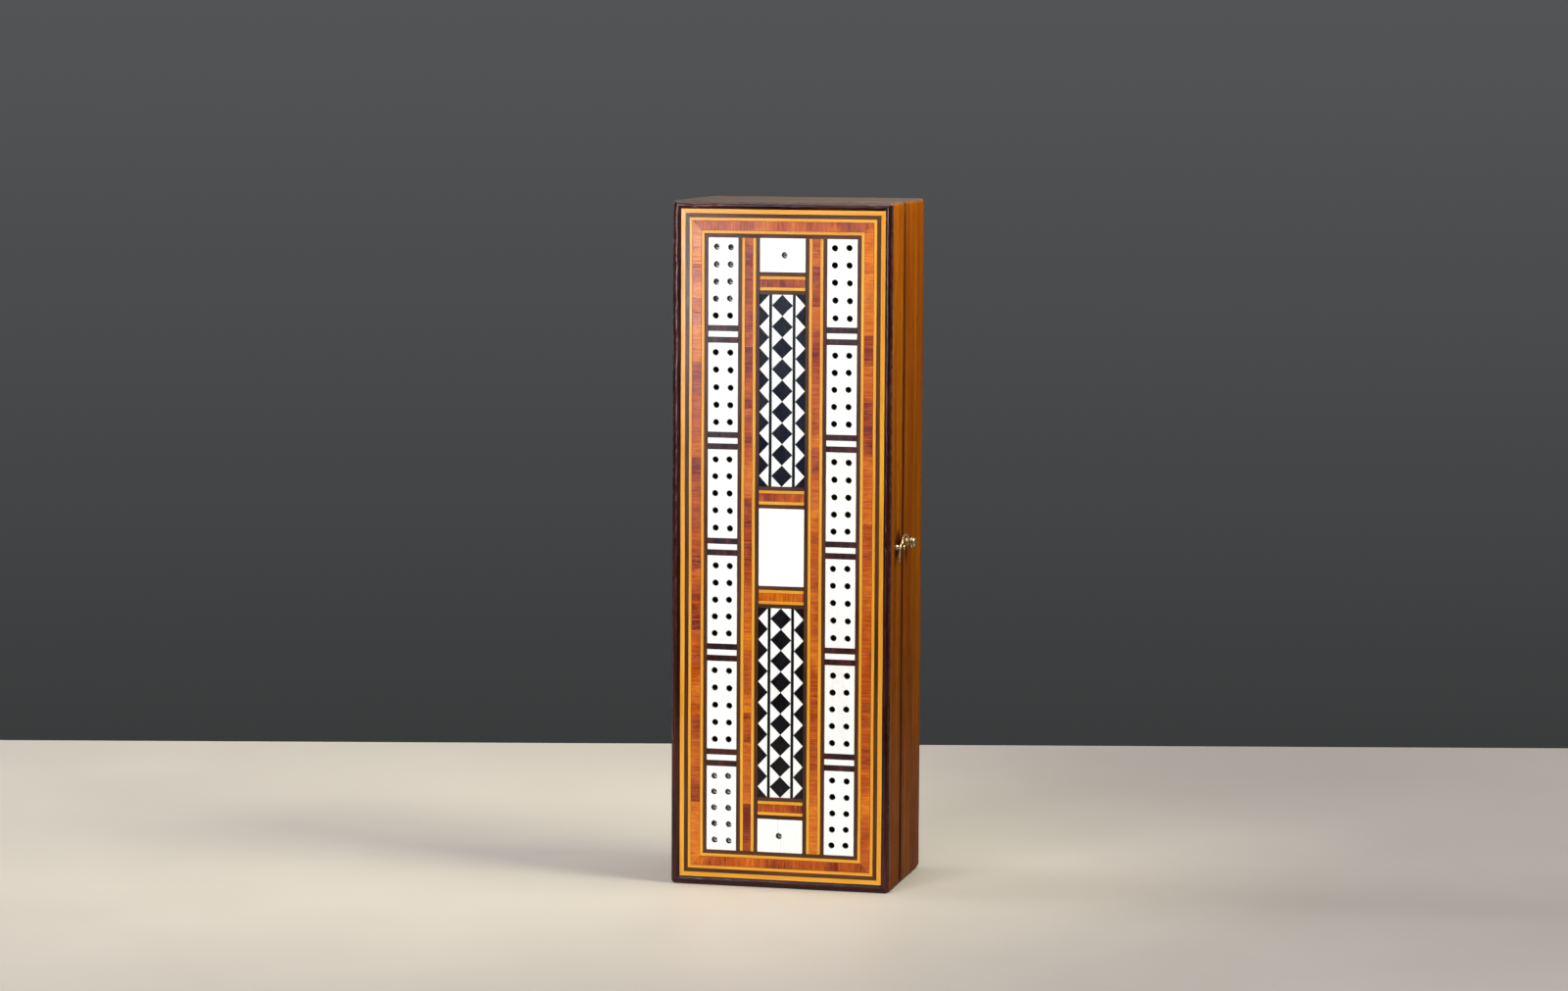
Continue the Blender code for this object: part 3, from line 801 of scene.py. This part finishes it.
def hand_error(seed):
    """How far a hole drilled by hand is off its place."""
    return HAND_ERROR * sin(12.9898 * seed)


def plate_holes(side, number, middle):
    """Where a track plate's ten holes are, as (x, z) in the case."""
    pitch = LAST_ROW_PITCH if number == 5 else ROW_PITCH
    holes = []
    for row in range(5):
        for column in (-1, 1):
            seed = 100 * side + 10 * number + 2 * row + column
            x = middle.x + column * COLUMN_OFFSET + hand_error(seed)
            z = middle.z + (2 - row) * pitch + hand_error(seed + 50)
            holes.append((x, z))
    return holes


def pale_bottomed(hole):
    """Whether a hole is shallow with a pale bottom: in the game plates and at the left track's ends."""
    x, z = hole
    return x < 3 * MM and not 46 * MM < z < 230 * MM


def drills(holes, radius, top, depth, flare, sides=24, shallow_depth=None):
    """Round drills with a countersink at the surface and a blunt point, shorter for the pale-bottomed holes.
    """
    shape = Shape()
    turn = Matrix.Rotation(-pi / 2, 4, "X")
    for x, z in holes:
        r = radius * (1 + 0.04 * soft(x, 3.1, z, 1.7 * MM))
        profile = [(r + flare + 0.5 * MM, -0.5 * MM), (r + flare, 0.0), (r + 0.3 * flare, 0.35 * flare)]
        end = shallow_depth if shallow_depth and pale_bottomed((x, z)) else depth
        profile += [(r, flare), (r, 0.4 * end), (r, end - 0.3 * MM)]
        profile += [(0.75 * r, end - 0.22 * MM), (0.3 * r, end - 0.1 * MM), (0.0, end)]
        turned(profile, Matrix.Translation((x, top, z)) @ turn, sides, shape)
    shape.paint("y", 0, 0.5, 1)
    return shape


def hole_shade_and_dirt(holes):
    """Dirt and painted shade for a plate: it thickens down the wall of each hole, where shade falls."""
    def amount(place):
        nearest = min(math.dist((place.x, place.z), hole) for hole in holes)
        return (place.y - FRONT) / SKIN if nearest < 1.7 * MM else 0.0
    return amount


def make_plate(name, holes, tint, crack=None):
    """A bone plate with drilled holes, each with a small worn countersink."""
    low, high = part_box(name)
    grow = Vector((CLEARANCE - HAIR, 0, CLEARANCE - HAIR))
    low, high = low - grow, high + grow
    high.y = SKIN_BACK
    shape = block(low, high, EASE)
    if holes:
        shape = boolean(shape, drills(holes, HOLE_R, FRONT, PLATE_DRILL_DEPTH, FLARE))
    if crack:
        shape = boolean(shape, crack(low, high))
    shape.paint("z", RNG.uniform(0, 90), tint, 0)
    if holes:
        shape.mark(shape.shade_and_dirt, hole_shade_and_dirt(holes))
    piece(name, shape, ["bone"], "lid", [name], sharp=12)


def crack_cutter(low, high):
    """A fine crack down a plate, in two runs that meet the hole a little apart."""
    middle = (low.z + high.z) / 2
    hole = GAME_HOLES["game_plate_bottom"] + (low.x + high.x) / 2
    from_hole, beyond = 0.6 * MM, 0.2 * MM
    runs = (
        (hole - 0.3 * MM, high.z + beyond, middle + from_hole),
        (hole + 0.6 * MM, middle - from_hole, low.z - beyond),
    )
    half = 0.05 * MM
    over, under = FRONT - 0.1 * MM, FRONT + 0.7 * MM
    section = ((-half, over), (half, over), (0.3 * half, under), (-0.3 * half, under))
    shape = Shape()
    for x, top, bottom in runs:
        loops = []
        for z in steps(top, bottom, 0.8 * MM):
            centre = x + 0.12 * MM * soft(x, 0.0, z, 1.8 * MM)
            loops.append([Vector((centre + offset, y, z)) for offset, y in section])
        shape.loft(loops)
    shape.paint("z", 0, 0.5, 0)
    return shape


def make_divider(name):
    """Three cross strips between two track plates: rosewood, bone, rosewood."""
    x_range, (bottom, top) = bay(name)
    third = (top - bottom) / 3
    shape = Shape()
    for z_range in ((bottom, bottom + third), (top - third, top)):
        bar(shape, x_range, z_range, "x", lambda: RNG.uniform(0.4, 0.8), True)
    piece(f"{name}_rosewood", shape, ["rosewood"], "lid", [name])
    shape = Shape()
    bar(shape, x_range, (bottom + third, top - third), "x", lambda: RNG.uniform(0.6, 1.0))
    piece(f"{name}_bone", shape, ["bone"], "lid")


def make_mosaic(name):
    """Rhombi down the middle between two black lines, with a row of triangles on each side."""
    low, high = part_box(name)
    cx = (low.x + high.x) / 2
    (_, right), (bottom, top) = bay(name)
    outer = right - cx
    pitch = (top - bottom) / RHOMBI
    inner = RHOMBUS_HALF + LINE_W
    white = Shape()
    black = Shape()
    pale = lambda: RNG.uniform(0.55, 1.0)
    dark = lambda: RNG.uniform(0.2, 0.8)
    for i in range(RHOMBI):
        z = bottom + i * pitch
        middle = z + pitch / 2
        rhombus = [(cx, z), (cx + RHOMBUS_HALF, middle), (cx, z + pitch), (cx - RHOMBUS_HALF, middle)]
        tessera(black, rhombus, dark())
        for side in (-1, 1):
            near, far = cx + side * inner, cx + side * outer
            tessera(white, [(near, z), (near, z + pitch), (far, middle)], pale())
    for i in range(RHOMBI + 1):
        z = bottom + i * pitch
        below, above = max(z - pitch / 2, bottom), min(z + pitch / 2, top)
        for side in (-1, 1):
            edge = cx + side * RHOMBUS_HALF
            tessera(white, [(edge, below), (edge, above), (cx, z)], pale())
            edge = cx + side * outer
            tessera(black, [(edge, below), (edge, above), (cx + side * inner, z)], dark())
    for side in (-1, 1):
        edges = sorted((cx + side * RHOMBUS_HALF, cx + side * inner))
        bar(black, edges, (bottom, top), "z", dark)
    piece(f"{name}_bone", white, ["bone"], "lid")
    piece(f"{name}_ebony", black, ["ebony"], "lid", [name])


def make_face():
    """The whole of the inlay. It returns where the peg holes are, as (x, z)."""
    make_border()
    make_perimeter()
    for word in ("left", "right"):
        make_band(f"long_band_{word}", "z")
    for number in range(1, 5):
        make_band(f"cross_band_{number}", "x")
    drilled = []
    for side, word in ((-1, "left"), (1, "right")):
        for number in range(6):
            name = f"peg_plate_{word}_{number + 1}"
            low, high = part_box(name)
            holes = plate_holes(side, number, (low + high) / 2)
            drilled += holes
            make_plate(name, holes, RNG.uniform(0.5, 0.9))
        for number in range(1, 6):
            make_divider(f"track_divider_{word}_{number}")
    for name, x in GAME_HOLES.items():
        low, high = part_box(name)
        hole = ((low.x + high.x) / 2 + x, (low.z + high.z) / 2)
        drilled.append(hole)
        crack = crack_cutter if name == "game_plate_bottom" else None
        make_plate(name, [hole], 0.5 if crack else 0.85, crack)
    make_plate("centre_plate", [], 0.9)
    for name in ("mosaic_panel_top", "mosaic_panel_bottom"):
        make_mosaic(name)
    return drilled


# ---------------------------------------------------------------- the case


def board_outline(thick, length):
    """A side board's mitred outline, as (along, inset) points, with its outer corners rounded."""
    outline = [(thick + HAIR, thick)]
    for i in range(4):
        angle = radians(45 + 15 * i)
        outline.append((CORNER_R - CORNER_R * cos(angle) + HAIR, CORNER_R - CORNER_R * sin(angle)))
    outline += [(along, 0.0) for along in steps(CORNER_R + 1 * MM, 9 * MM, 0.8 * MM)]
    outline += [(along, 0.0) for along in steps(12 * MM, length / 2, 2.5 * MM)[:-1]]
    return outline + [(length - along, inset) for along, inset in reversed(outline)]


def board_layers(front, back, front_ease, back_ease):
    """A side board's layers, as (y, inset), with its front and back edges eased."""
    quarter = [radians(22.5 * i) for i in range(5)]
    layers = [(front + front_ease * (1 - cos(a)), front_ease * (1 - sin(a))) for a in quarter]
    layers += [(y, 0.0) for y in steps(front + 1.4 * MM, back - 1.2 * MM, 2 * MM)]
    for angle in reversed(quarter):
        layers.append((back - back_ease * (1 - cos(angle)), back_ease * (1 - sin(angle))))
    return layers


def weather(shape, name, out, thick, front, back):
    """Age a side board's outer face: grime and painted shade along the parting, a dark patch beside the
    hook, rubbed edges and small chips.
    """
    reach = max(out.dot(corner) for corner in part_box(name))
    for vert in shape.bm.verts:
        place = vert.co
        depth = reach - out.dot(place)
        if depth > thick / 2:
            continue
        edge = min(place.y - front, back - place.y)
        # Painted shade, with grime, darkens the face along the parting line
        vert[shape.shade_and_dirt] = unit(2.4 - abs(place.y - PARTING_Y) / PARTING_SHADE_AND_GRIME)
        # A dark patch on the lid side beside the hook, darkest towards its middle
        for z, y, tall, wide in DARK_PATCHES.get(name, []):
            level = ((place.z - z * MM) / (tall * MM)) ** 2 + ((place.y - y * MM) / (wide * MM)) ** 2
            vert[shape.shade_and_dirt] = max(vert[shape.shade_and_dirt], unit(2.0 * (1.1 - level)))
        if name.startswith("base"):
            vert[shape.wear] = max(0.0, 1 - max(depth, back - place.y) / RUBBED_W)
        vert.co -= out * 0.05 * MM * (0.5 + soft(place.x, place.y, place.z, 16 * MM))
        if edge < RUBBED_W:
            vert.co -= out * 0.2 * MM * max(0.0, soft(place.x, 2.0, place.z, 5 * MM) - 0.1)
        for z, y, size, deep in CHIPS.get(name, []):
            away = (place.z - z * MM) ** 2 + (place.y - y * MM) ** 2
            near = math.exp(-away / (0.35 * size * MM) ** 2)
            vert.co -= out * near * deep * MM
            vert[shape.wear] = max(vert[shape.wear], unit(1.6 * near))


def make_board(name, body):
    """A mitred mahogany side board with eased edges, a rounded outer corner and small chips."""
    low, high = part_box(name)
    flat = high.x - low.x > high.z - low.z
    side = "bottom" if flat and low.z < 0.1 else "top" if flat else "left" if low.x < 0 else "right"
    thick = min(high.x - low.x, high.z - low.z)
    if body == "lid":
        front, front_ease = max(low.y - CLEARANCE, SKIN_BACK), 0.08 * MM
    else:
        front, front_ease = low.y, 0.85 * MM
    outline = board_outline(thick, side_length(CASE_RECT, side))
    loops = []
    for y, inset in board_layers(front, high.y, front_ease, 0.6 * MM):
        eased = [(along, depth + inset if depth < thick / 2 else depth - inset) for along, depth in outline]
        corners = [side_place(CASE_RECT, side, along, depth) for along, depth in eased]
        loops.append([Vector((x, y, z)) for x, z in corners])
    shape = Shape()
    shape.loft(loops)
    weather(shape, name, Vector(OUTWARDS[side]), thick, front, high.y)
    shape.mark(shape.dust, dusty)
    if name.endswith("side_hinge"):
        for word in ("lower", "upper"):
            shape = boolean(shape, mortise(word))
    shape.paint("x" if flat else "z", sum(map(ord, name)) % 17, 0.5 if body == "lid" else 0.3, 0)
    piece(name, shape, ["mahogany"], body, [name], sharp=40)


def hinge_place(word):
    """The hinge's middle on its axis, and its length."""
    low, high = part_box(f"hinge_{word}_base_leaf")
    axis = next(j for j in frame["joints"] if j["child"] == "lid")
    pivot = axis["pos_m"]
    return Vector((pivot[0], pivot[1], (low.z + high.z) / 2)), high.z - low.z


def cuboid(low, high):
    """A plain box."""
    shape = Shape()
    corners = ((low.x, low.z), (high.x, low.z), (high.x, high.z), (low.x, high.z))
    shape.loft([[Vector((x, y, z)) for x, z in corners] for y in (low.y, high.y)])
    return shape


def mortise(word):
    """The shallow recess for both leaves of a hinge, with a cove for its knuckles."""
    middle, length = hinge_place(word)
    low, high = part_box(f"hinge_{word}_lid_leaf")
    spare = 0.08 * MM
    half = length / 2 + spare
    tool = cuboid(
        Vector((-HALF_W - 1 * MM, middle.y - LEAF_GAP - LEAF_T - spare, middle.z - half)),
        Vector((high.x + spare, middle.y + LEAF_GAP + LEAF_T + spare, middle.z + half)),
    )
    radius = middle.y - low.y + spare
    cove = turned([(radius, -half), (radius, half)], Matrix.Translation(middle), 32)
    return boolean(tool, cove, "UNION")


def make_panel(drilled, grow):
    """The board that the inlay is laid on: plain deal, with the peg holes' bores painted dark for the shade
    inside them.
    """
    low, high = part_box("lid_panel")
    low, high = low - grow, high + grow
    low.y = SKIN_BACK
    bores = drills(
        drilled, HOLE_R - 0.03 * MM, low.y - 0.05 * MM, HOLE_DEPTH - SKIN, 0.01 * MM, 20, SHALLOW_DEPTH - SKIN,
    )
    panel = boolean(block(low, high, 0.1 * MM), bores)
    holes = [face for face in panel.bm.faces if face.material_index == 1]
    rest = [face for face in panel.bm.faces if face.material_index != 1]
    panel.paint("z", 4, 0.5, 0, rest)
    # The bores take the dark end of their look: painted shade
    panel.paint("y", 6, 0.25, 1, holes)
    # A pale ring at the bottom of each shallow hole
    for face in holes:
        middle = face.calc_center_median()
        ring = min(math.dist((middle.x, middle.z), hole) for hole in drilled) / HOLE_R
        if middle.y < low.y + 2 * MM and 0.25 < ring < 0.75:
            face[panel.tint] = 0.8 + 0.3 * soft(middle.x, 5.0, middle.z, 2 * MM)
    piece("lid_panel", panel, ["deal", "shaded_bore"], "lid", ["lid_panel"])


def make_case(drilled):
    """The side boards, the lid's panel, the back and the partitions."""
    for part, body in (("lid", "lid"), ("base", "base")):
        for side in ("side_latch", "side_hinge", "end_top", "end_bottom"):
            make_board(f"{part}_{side}", body)
    grow = Vector((0.26 * MM, 0, 0.26 * MM))
    make_panel(drilled, grow)
    for name, axis in (("back_panel", "z"), ("partition_lower", "x"), ("partition_upper", "x")):
        low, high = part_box(name)
        shape = block(low - grow, high + grow, 0.3 * MM)
        shape.paint(axis, len(name), 0.6)
        piece(name, shape, ["mahogany"], "base", [name])


# ---------------------------------------------------------------- brass and pegs


def screw_head(place, turn):
    """A countersunk head with a slot turned by an angle."""
    head = turned(in_mm(SCREW_HEAD), place, 24)
    swing = place @ Matrix.Rotation(turn, 4, "Z")
    corners = in_mm(((-2, -0.14), (2, -0.14), (2, 0.14), (-2, 0.14)))
    slot = Shape()
    slot.loft([[swing @ Vector((x, y, h)) for x, y in corners] for h in (-0.3 * MM, 0.3 * MM)])
    return boolean(head, slot)


def leaf_plate(word, part, face_y, outwards):
    """A hinge leaf: a plate cut back for the other leaf's knuckles, and its own knuckles, bored."""
    low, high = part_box(f"hinge_{word}_{part}_leaf")
    middle, length = hinge_place(word)
    half = length / 2
    over = 1 * MM
    back_y = face_y + outwards * LEAF_T
    plate = block(
        Vector((middle.x, min(face_y, back_y), middle.z - half)),
        Vector((high.x, max(face_y, back_y), middle.z + half)),
        0.12 * MM,
    )
    slack = KNUCKLE_HALF + KNUCKLE_PLAY
    if part == "lid":
        radius = middle.y - low.y
        own = [(-KNUCKLE_HALF, KNUCKLE_HALF)]
        other = [(-half - over, -KNUCKLE_HALF), (KNUCKLE_HALF, half + over)]
    else:
        radius = high.y - middle.y
        own = [(-half, -slack), (slack, half)]
        other = [(-slack, slack)]
    for start, end in other:
        plate = boolean(plate, cuboid(
            Vector((middle.x - over, middle.y - 3 * MM, middle.z + start)),
            Vector((middle.x + radius + 0.1 * MM, middle.y + 3 * MM, middle.z + end)),
        ))
    soft_end = 0.15 * MM
    for start, end in own:
        profile = [(radius - soft_end, start), (radius, start + soft_end)]
        profile += [(radius, end - soft_end), (radius - soft_end, end)]
        plate = boolean(plate, turned(profile, Matrix.Translation(middle), 32), "UNION")
    profile = [(HINGE_BORE_R, -half - over), (HINGE_BORE_R, half + over)]
    return boolean(plate, turned(profile, Matrix.Translation(middle), 24))


def make_leaf(word, part, body):
    """A hinge leaf with its two countersunk screws."""
    name = f"hinge_{word}_{part}_leaf"
    middle = hinge_place(word)[0]
    outwards = -1 if part == "lid" else 1
    face_y = middle.y + outwards * LEAF_GAP
    plate = leaf_plate(word, part, face_y, outwards)
    screws = Shape()
    spots = Shape()
    out = Matrix.Rotation(pi / 2 * outwards, 4, "X")
    for z in (-SCREW_FROM_MIDDLE, SCREW_FROM_MIDDLE):
        place = Matrix.Translation((middle.x + SCREW_FROM_AXIS, face_y, middle.z + z)) @ out
        turned(in_mm(SCREW_SPOT), place, 24, spots)
        mesh = screw_head(place, 0.6 + 900 * z).mesh("working")
        screws.bm.from_mesh(mesh)
        bpy.data.meshes.remove(mesh)
    plate = boolean(plate, spots)
    piece(name, plate, ["brass"], body, [name])
    piece(f"hinge_{word}_{part}_screws", screws, ["brass"], body)


def make_hinges():
    """Both hinges: two leaves on a pin with rounded ends."""
    for word in ("lower", "upper"):
        make_leaf(word, "lid", "lid")
        make_leaf(word, "base", "base")
        middle, length = hinge_place(word)
        half = length / 2 + 0.15 * MM
        profile = [(0.0, -half), (0.6 * PIN_R, -half + 0.05 * MM), (PIN_R, -half + 0.3 * MM)]
        profile += [(PIN_R, half - 0.3 * MM), (0.6 * PIN_R, half - 0.05 * MM), (0.0, half)]
        name = f"hinge_{word}_pin"
        piece(name, turned(profile, Matrix.Translation(middle), 24), ["brass"], "base", [name])


def make_stud(name, body, neck, head_r):
    """A turned stud: a foot and a domed head of the same width, and a waisted neck."""
    low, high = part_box(name)
    middle = (low + high) / 2
    top = high.x - HALF_W
    dome = 0.7 * MM
    profile = [(head_r, 0.0), (head_r, 0.5 * MM)]
    profile += [(head_r - 0.12 * MM, 0.75 * MM), (neck + 0.2 * MM, 0.95 * MM)]
    profile += [(neck, 1.25 * MM), (neck, top - 1.1 * MM)]
    profile += [(neck + 0.1 * MM, top - 0.92 * MM), (head_r - 0.1 * MM, top - 0.86 * MM)]
    for i in range(7):
        angle = radians(90 * i / 6)
        profile.append((head_r * cos(angle), top - dome + dome * sin(angle)))
    place = Matrix.Translation((HALF_W, middle.y, middle.z)) @ Matrix.Rotation(pi / 2, 4, "Y")
    piece(name, turned(profile, place, 40), ["brass"], body, [name], sharp=35)


def smooth_path(points, per_span):
    """Catmull-Rom points through a list of points."""
    padded = [2 * points[0] - points[1], *points, 2 * points[-1] - points[-2]]
    path = []
    for a, b, c, d in zip(padded, padded[1:], padded[2:], padded[3:]):
        for i in range(per_span):
            t = i / per_span
            bend = (2 * a - 5 * b + 4 * c - d) * t**2
            twist = (3 * b - a - 3 * c + d) * t**3
            path.append(0.5 * (2 * b + (c - a) * t + bend + twist))
    return path + [points[-1]]


def make_hook():
    """The wire hook: an eye round the pivot stud, a bowed shank and a curl over the catch stud."""
    joint = next(j for j in frame["joints"] if j["child"] == "hook")
    pivot = Vector(joint["pos_m"])
    route = [(-1.75, 0.4), (-4.5, 1.5), (-7.5, 2.9), (-10.5, 3.9), (-13.5, 4.2), (-15.8, 3.7), (-17.5, 2.7)]
    curl_back, curl_up, curl_r = -19.5, -1.25, 2.6
    for degrees in range(75, 181, 15):
        angle = radians(degrees)
        route.append((curl_back + curl_r * cos(angle), curl_up + curl_r * sin(angle)))
    route += [(-22.2, -2.2), (-22.5, -3.8), (-23.0, -5.4)]
    points = [pivot + Vector((0, back * MM, up * MM)) for back, up in route]
    path = smooth_path(points, 4)
    count = len(path)
    radii = [WIRE_R * min(1.0, 0.45 + 5.0 * (count - 1 - i) / count) for i in range(count)]
    shank = wire(path, radii)
    eye = [pivot + EYE_R * Vector((0, c, s)) for c, s in around(40)]
    hook = boolean(shank, wire(eye, [WIRE_R] * len(eye), closed=True), "UNION")
    piece("hook", hook, ["brass"], "hook", ["hook"], sharp=45)


def make_pegs():
    """Two bone and two ebony pegs, loose in the peg well."""
    length, head = 26.0, 1.9
    profile = [(0.0, 0.0), (0.45, 0.05), (0.78, 0.3), (0.9, 10.0), (1.05, length - 5.2), (1.2, length - 5.0)]
    profile += [(1.2, length - 4.7), (0.8, length - 4.4), (0.75, length - 4.0), (0.95, length - 3.6)]
    for i in range(9):
        angle = radians(-75 + 165 * i / 8)
        profile.append((head * cos(angle), length - head + head * sin(angle)))
    profile = in_mm(profile)
    tip, lift = 0.8, 0.3
    tilt = math.atan((head - tip) / (length - head))
    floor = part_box("partition_lower")[1].z
    rise = floor + (lift + head - (length - head) * sin(tilt)) * MM
    places = {"bone_1": (-22, 2, 6), "ebony_1": (6, 6, -8), "bone_2": (-9, 12, 4), "ebony_2": (8, 20, -5)}
    for word, (x, y, swing) in places.items():
        matrix = Matrix.Translation((x * MM, y * MM, rise))
        matrix @= Matrix.Rotation(radians(swing), 4, "Z") @ Matrix.Rotation(pi / 2 - tilt, 4, "Y")
        shape = turned(profile, matrix, 28)
        shape.paint("x", 7 + x, 0.6)
        look = word.split("_")[0]
        piece(f"peg_{word}", shape, [look], "base", [f"peg_{word}"])


# ---------------------------------------------------------------- stage, light and camera


VIEW_TURN = radians(13.4)


def make_stage():
    """A plain pale table, square to the camera, that ends a little behind the case."""
    shape = Shape()
    turn = Matrix.Rotation(VIEW_TURN, 3, "Z")
    corners = ((-0.9, -0.36), (0.9, -0.36), (0.9, 0.33), (-0.9, 0.33))
    shape.loft([[turn @ Vector((x, y, z)) for x, y in corners] for z in (-0.03, -0.0001)])
    mesh = shape.mesh("table")
    mesh.materials.append(stage_look("table", (0.56, 0.505, 0.445), 0.5))
    link("table", mesh)


def make_light(name, place, target, size, power, colour=(1.0, 1.0, 1.0), spread=180):
    data = bpy.data.lights.new(name, "AREA")
    data.spread = radians(spread)
    data.shape = "RECTANGLE"
    data.size, data.size_y = size
    data.energy = power
    data.color = colour
    lamp = bpy.data.objects.new(name, data)
    bpy.context.scene.collection.objects.link(lamp)
    lamp.location = place
    lamp.visible_camera = False
    lamp.rotation_euler = (Vector(target) - Vector(place)).to_track_quat("-Z", "Y").to_euler()


def make_lights():
    """The photograph's soft window light from the left, with fills, and a sky dark at its foot."""
    middle = (0.0, 0.0, 0.13)
    make_light("key", (-0.5, -2.1, 1.9), middle, (1.6, 1.2), 46.0, (1.0, 0.985, 0.96))
    make_light("window", (-1.02, -2.7, 0.30), (0.0, 0.0, 0.26), (0.5, 0.6), 22.0, (0.86, 0.90, 1.0))
    make_light("horizon", (-1.0, -3.2, 0.24), (0.0, 0.0, 0.24), (1.0, 0.85), 5.0, (0.16, 0.38, 1.0))
    make_light("left_strip", (-1.5, 0.0, 0.85), (0.0, 0.0, 0.3), (0.5, 1.1), 11.0, (0.88, 0.92, 1.0))
    make_light("right_fill", (1.9, -1.2, 0.9), middle, (1.2, 1.2), 1.3, (1.0, 0.97, 0.92))
    make_light("right_top", (0.25, -0.05, 0.50), (0.045, 0.0, 0.31), (0.2, 0.2), 0.75, (1.0, 1.0, 0.80), 75)
    make_light("top", (0.0, 0.5, 2.4), middle, (2.0, 1.6), 18.0)
    world = bpy.data.worlds.new("studio")
    world.use_nodes = True
    tree = world.node_tree
    height = node(tree, "SeparateXYZ", {0: node(tree, "TexCoord").outputs["Generated"]}).outputs[2]
    fade = node(tree, "ValToRGB", {0: node(tree, "MapRange", {0: height, 1: -0.2, 2: 0.5}).outputs[0]})
    fade.color_ramp.elements[0].color = (0.030, 0.032, 0.032, 1.0)
    fade.color_ramp.elements[1].color = (0.22, 0.22, 0.23, 1.0)
    tree.links.new(fade.outputs[0], tree.nodes["Background"].inputs["Color"])
    bpy.context.scene.world = world


def make_camera():
    """The photograph's view: a long lens from the right and a little above."""
    data = bpy.data.cameras.new("camera")
    data.sensor_width = 36.0
    data.lens = 98.48
    camera = bpy.data.objects.new("camera", data)
    bpy.context.scene.collection.objects.link(camera)
    place = Vector((0.3874, -1.6496, 0.3241))
    target = Vector((0.00136, -0.030, 0.15556))
    aim = (target - place).to_track_quat("-Z", "Y").to_matrix().to_4x4()
    camera.matrix_world = Matrix.Translation(place) @ aim @ Matrix.Rotation(radians(0.2986), 4, "Z")
    bpy.context.scene.camera = camera
    bpy.context.scene.view_settings.view_transform = "Standard"


make_stage()
make_lights()
make_camera()
make_case(make_face())
make_hinges()
make_stud("catch_stud", "lid", 0.55 * MM, 1.0 * MM)
make_stud("pivot_stud", "base", 0.9 * MM, 1.8 * MM)
make_hook()
make_pegs()
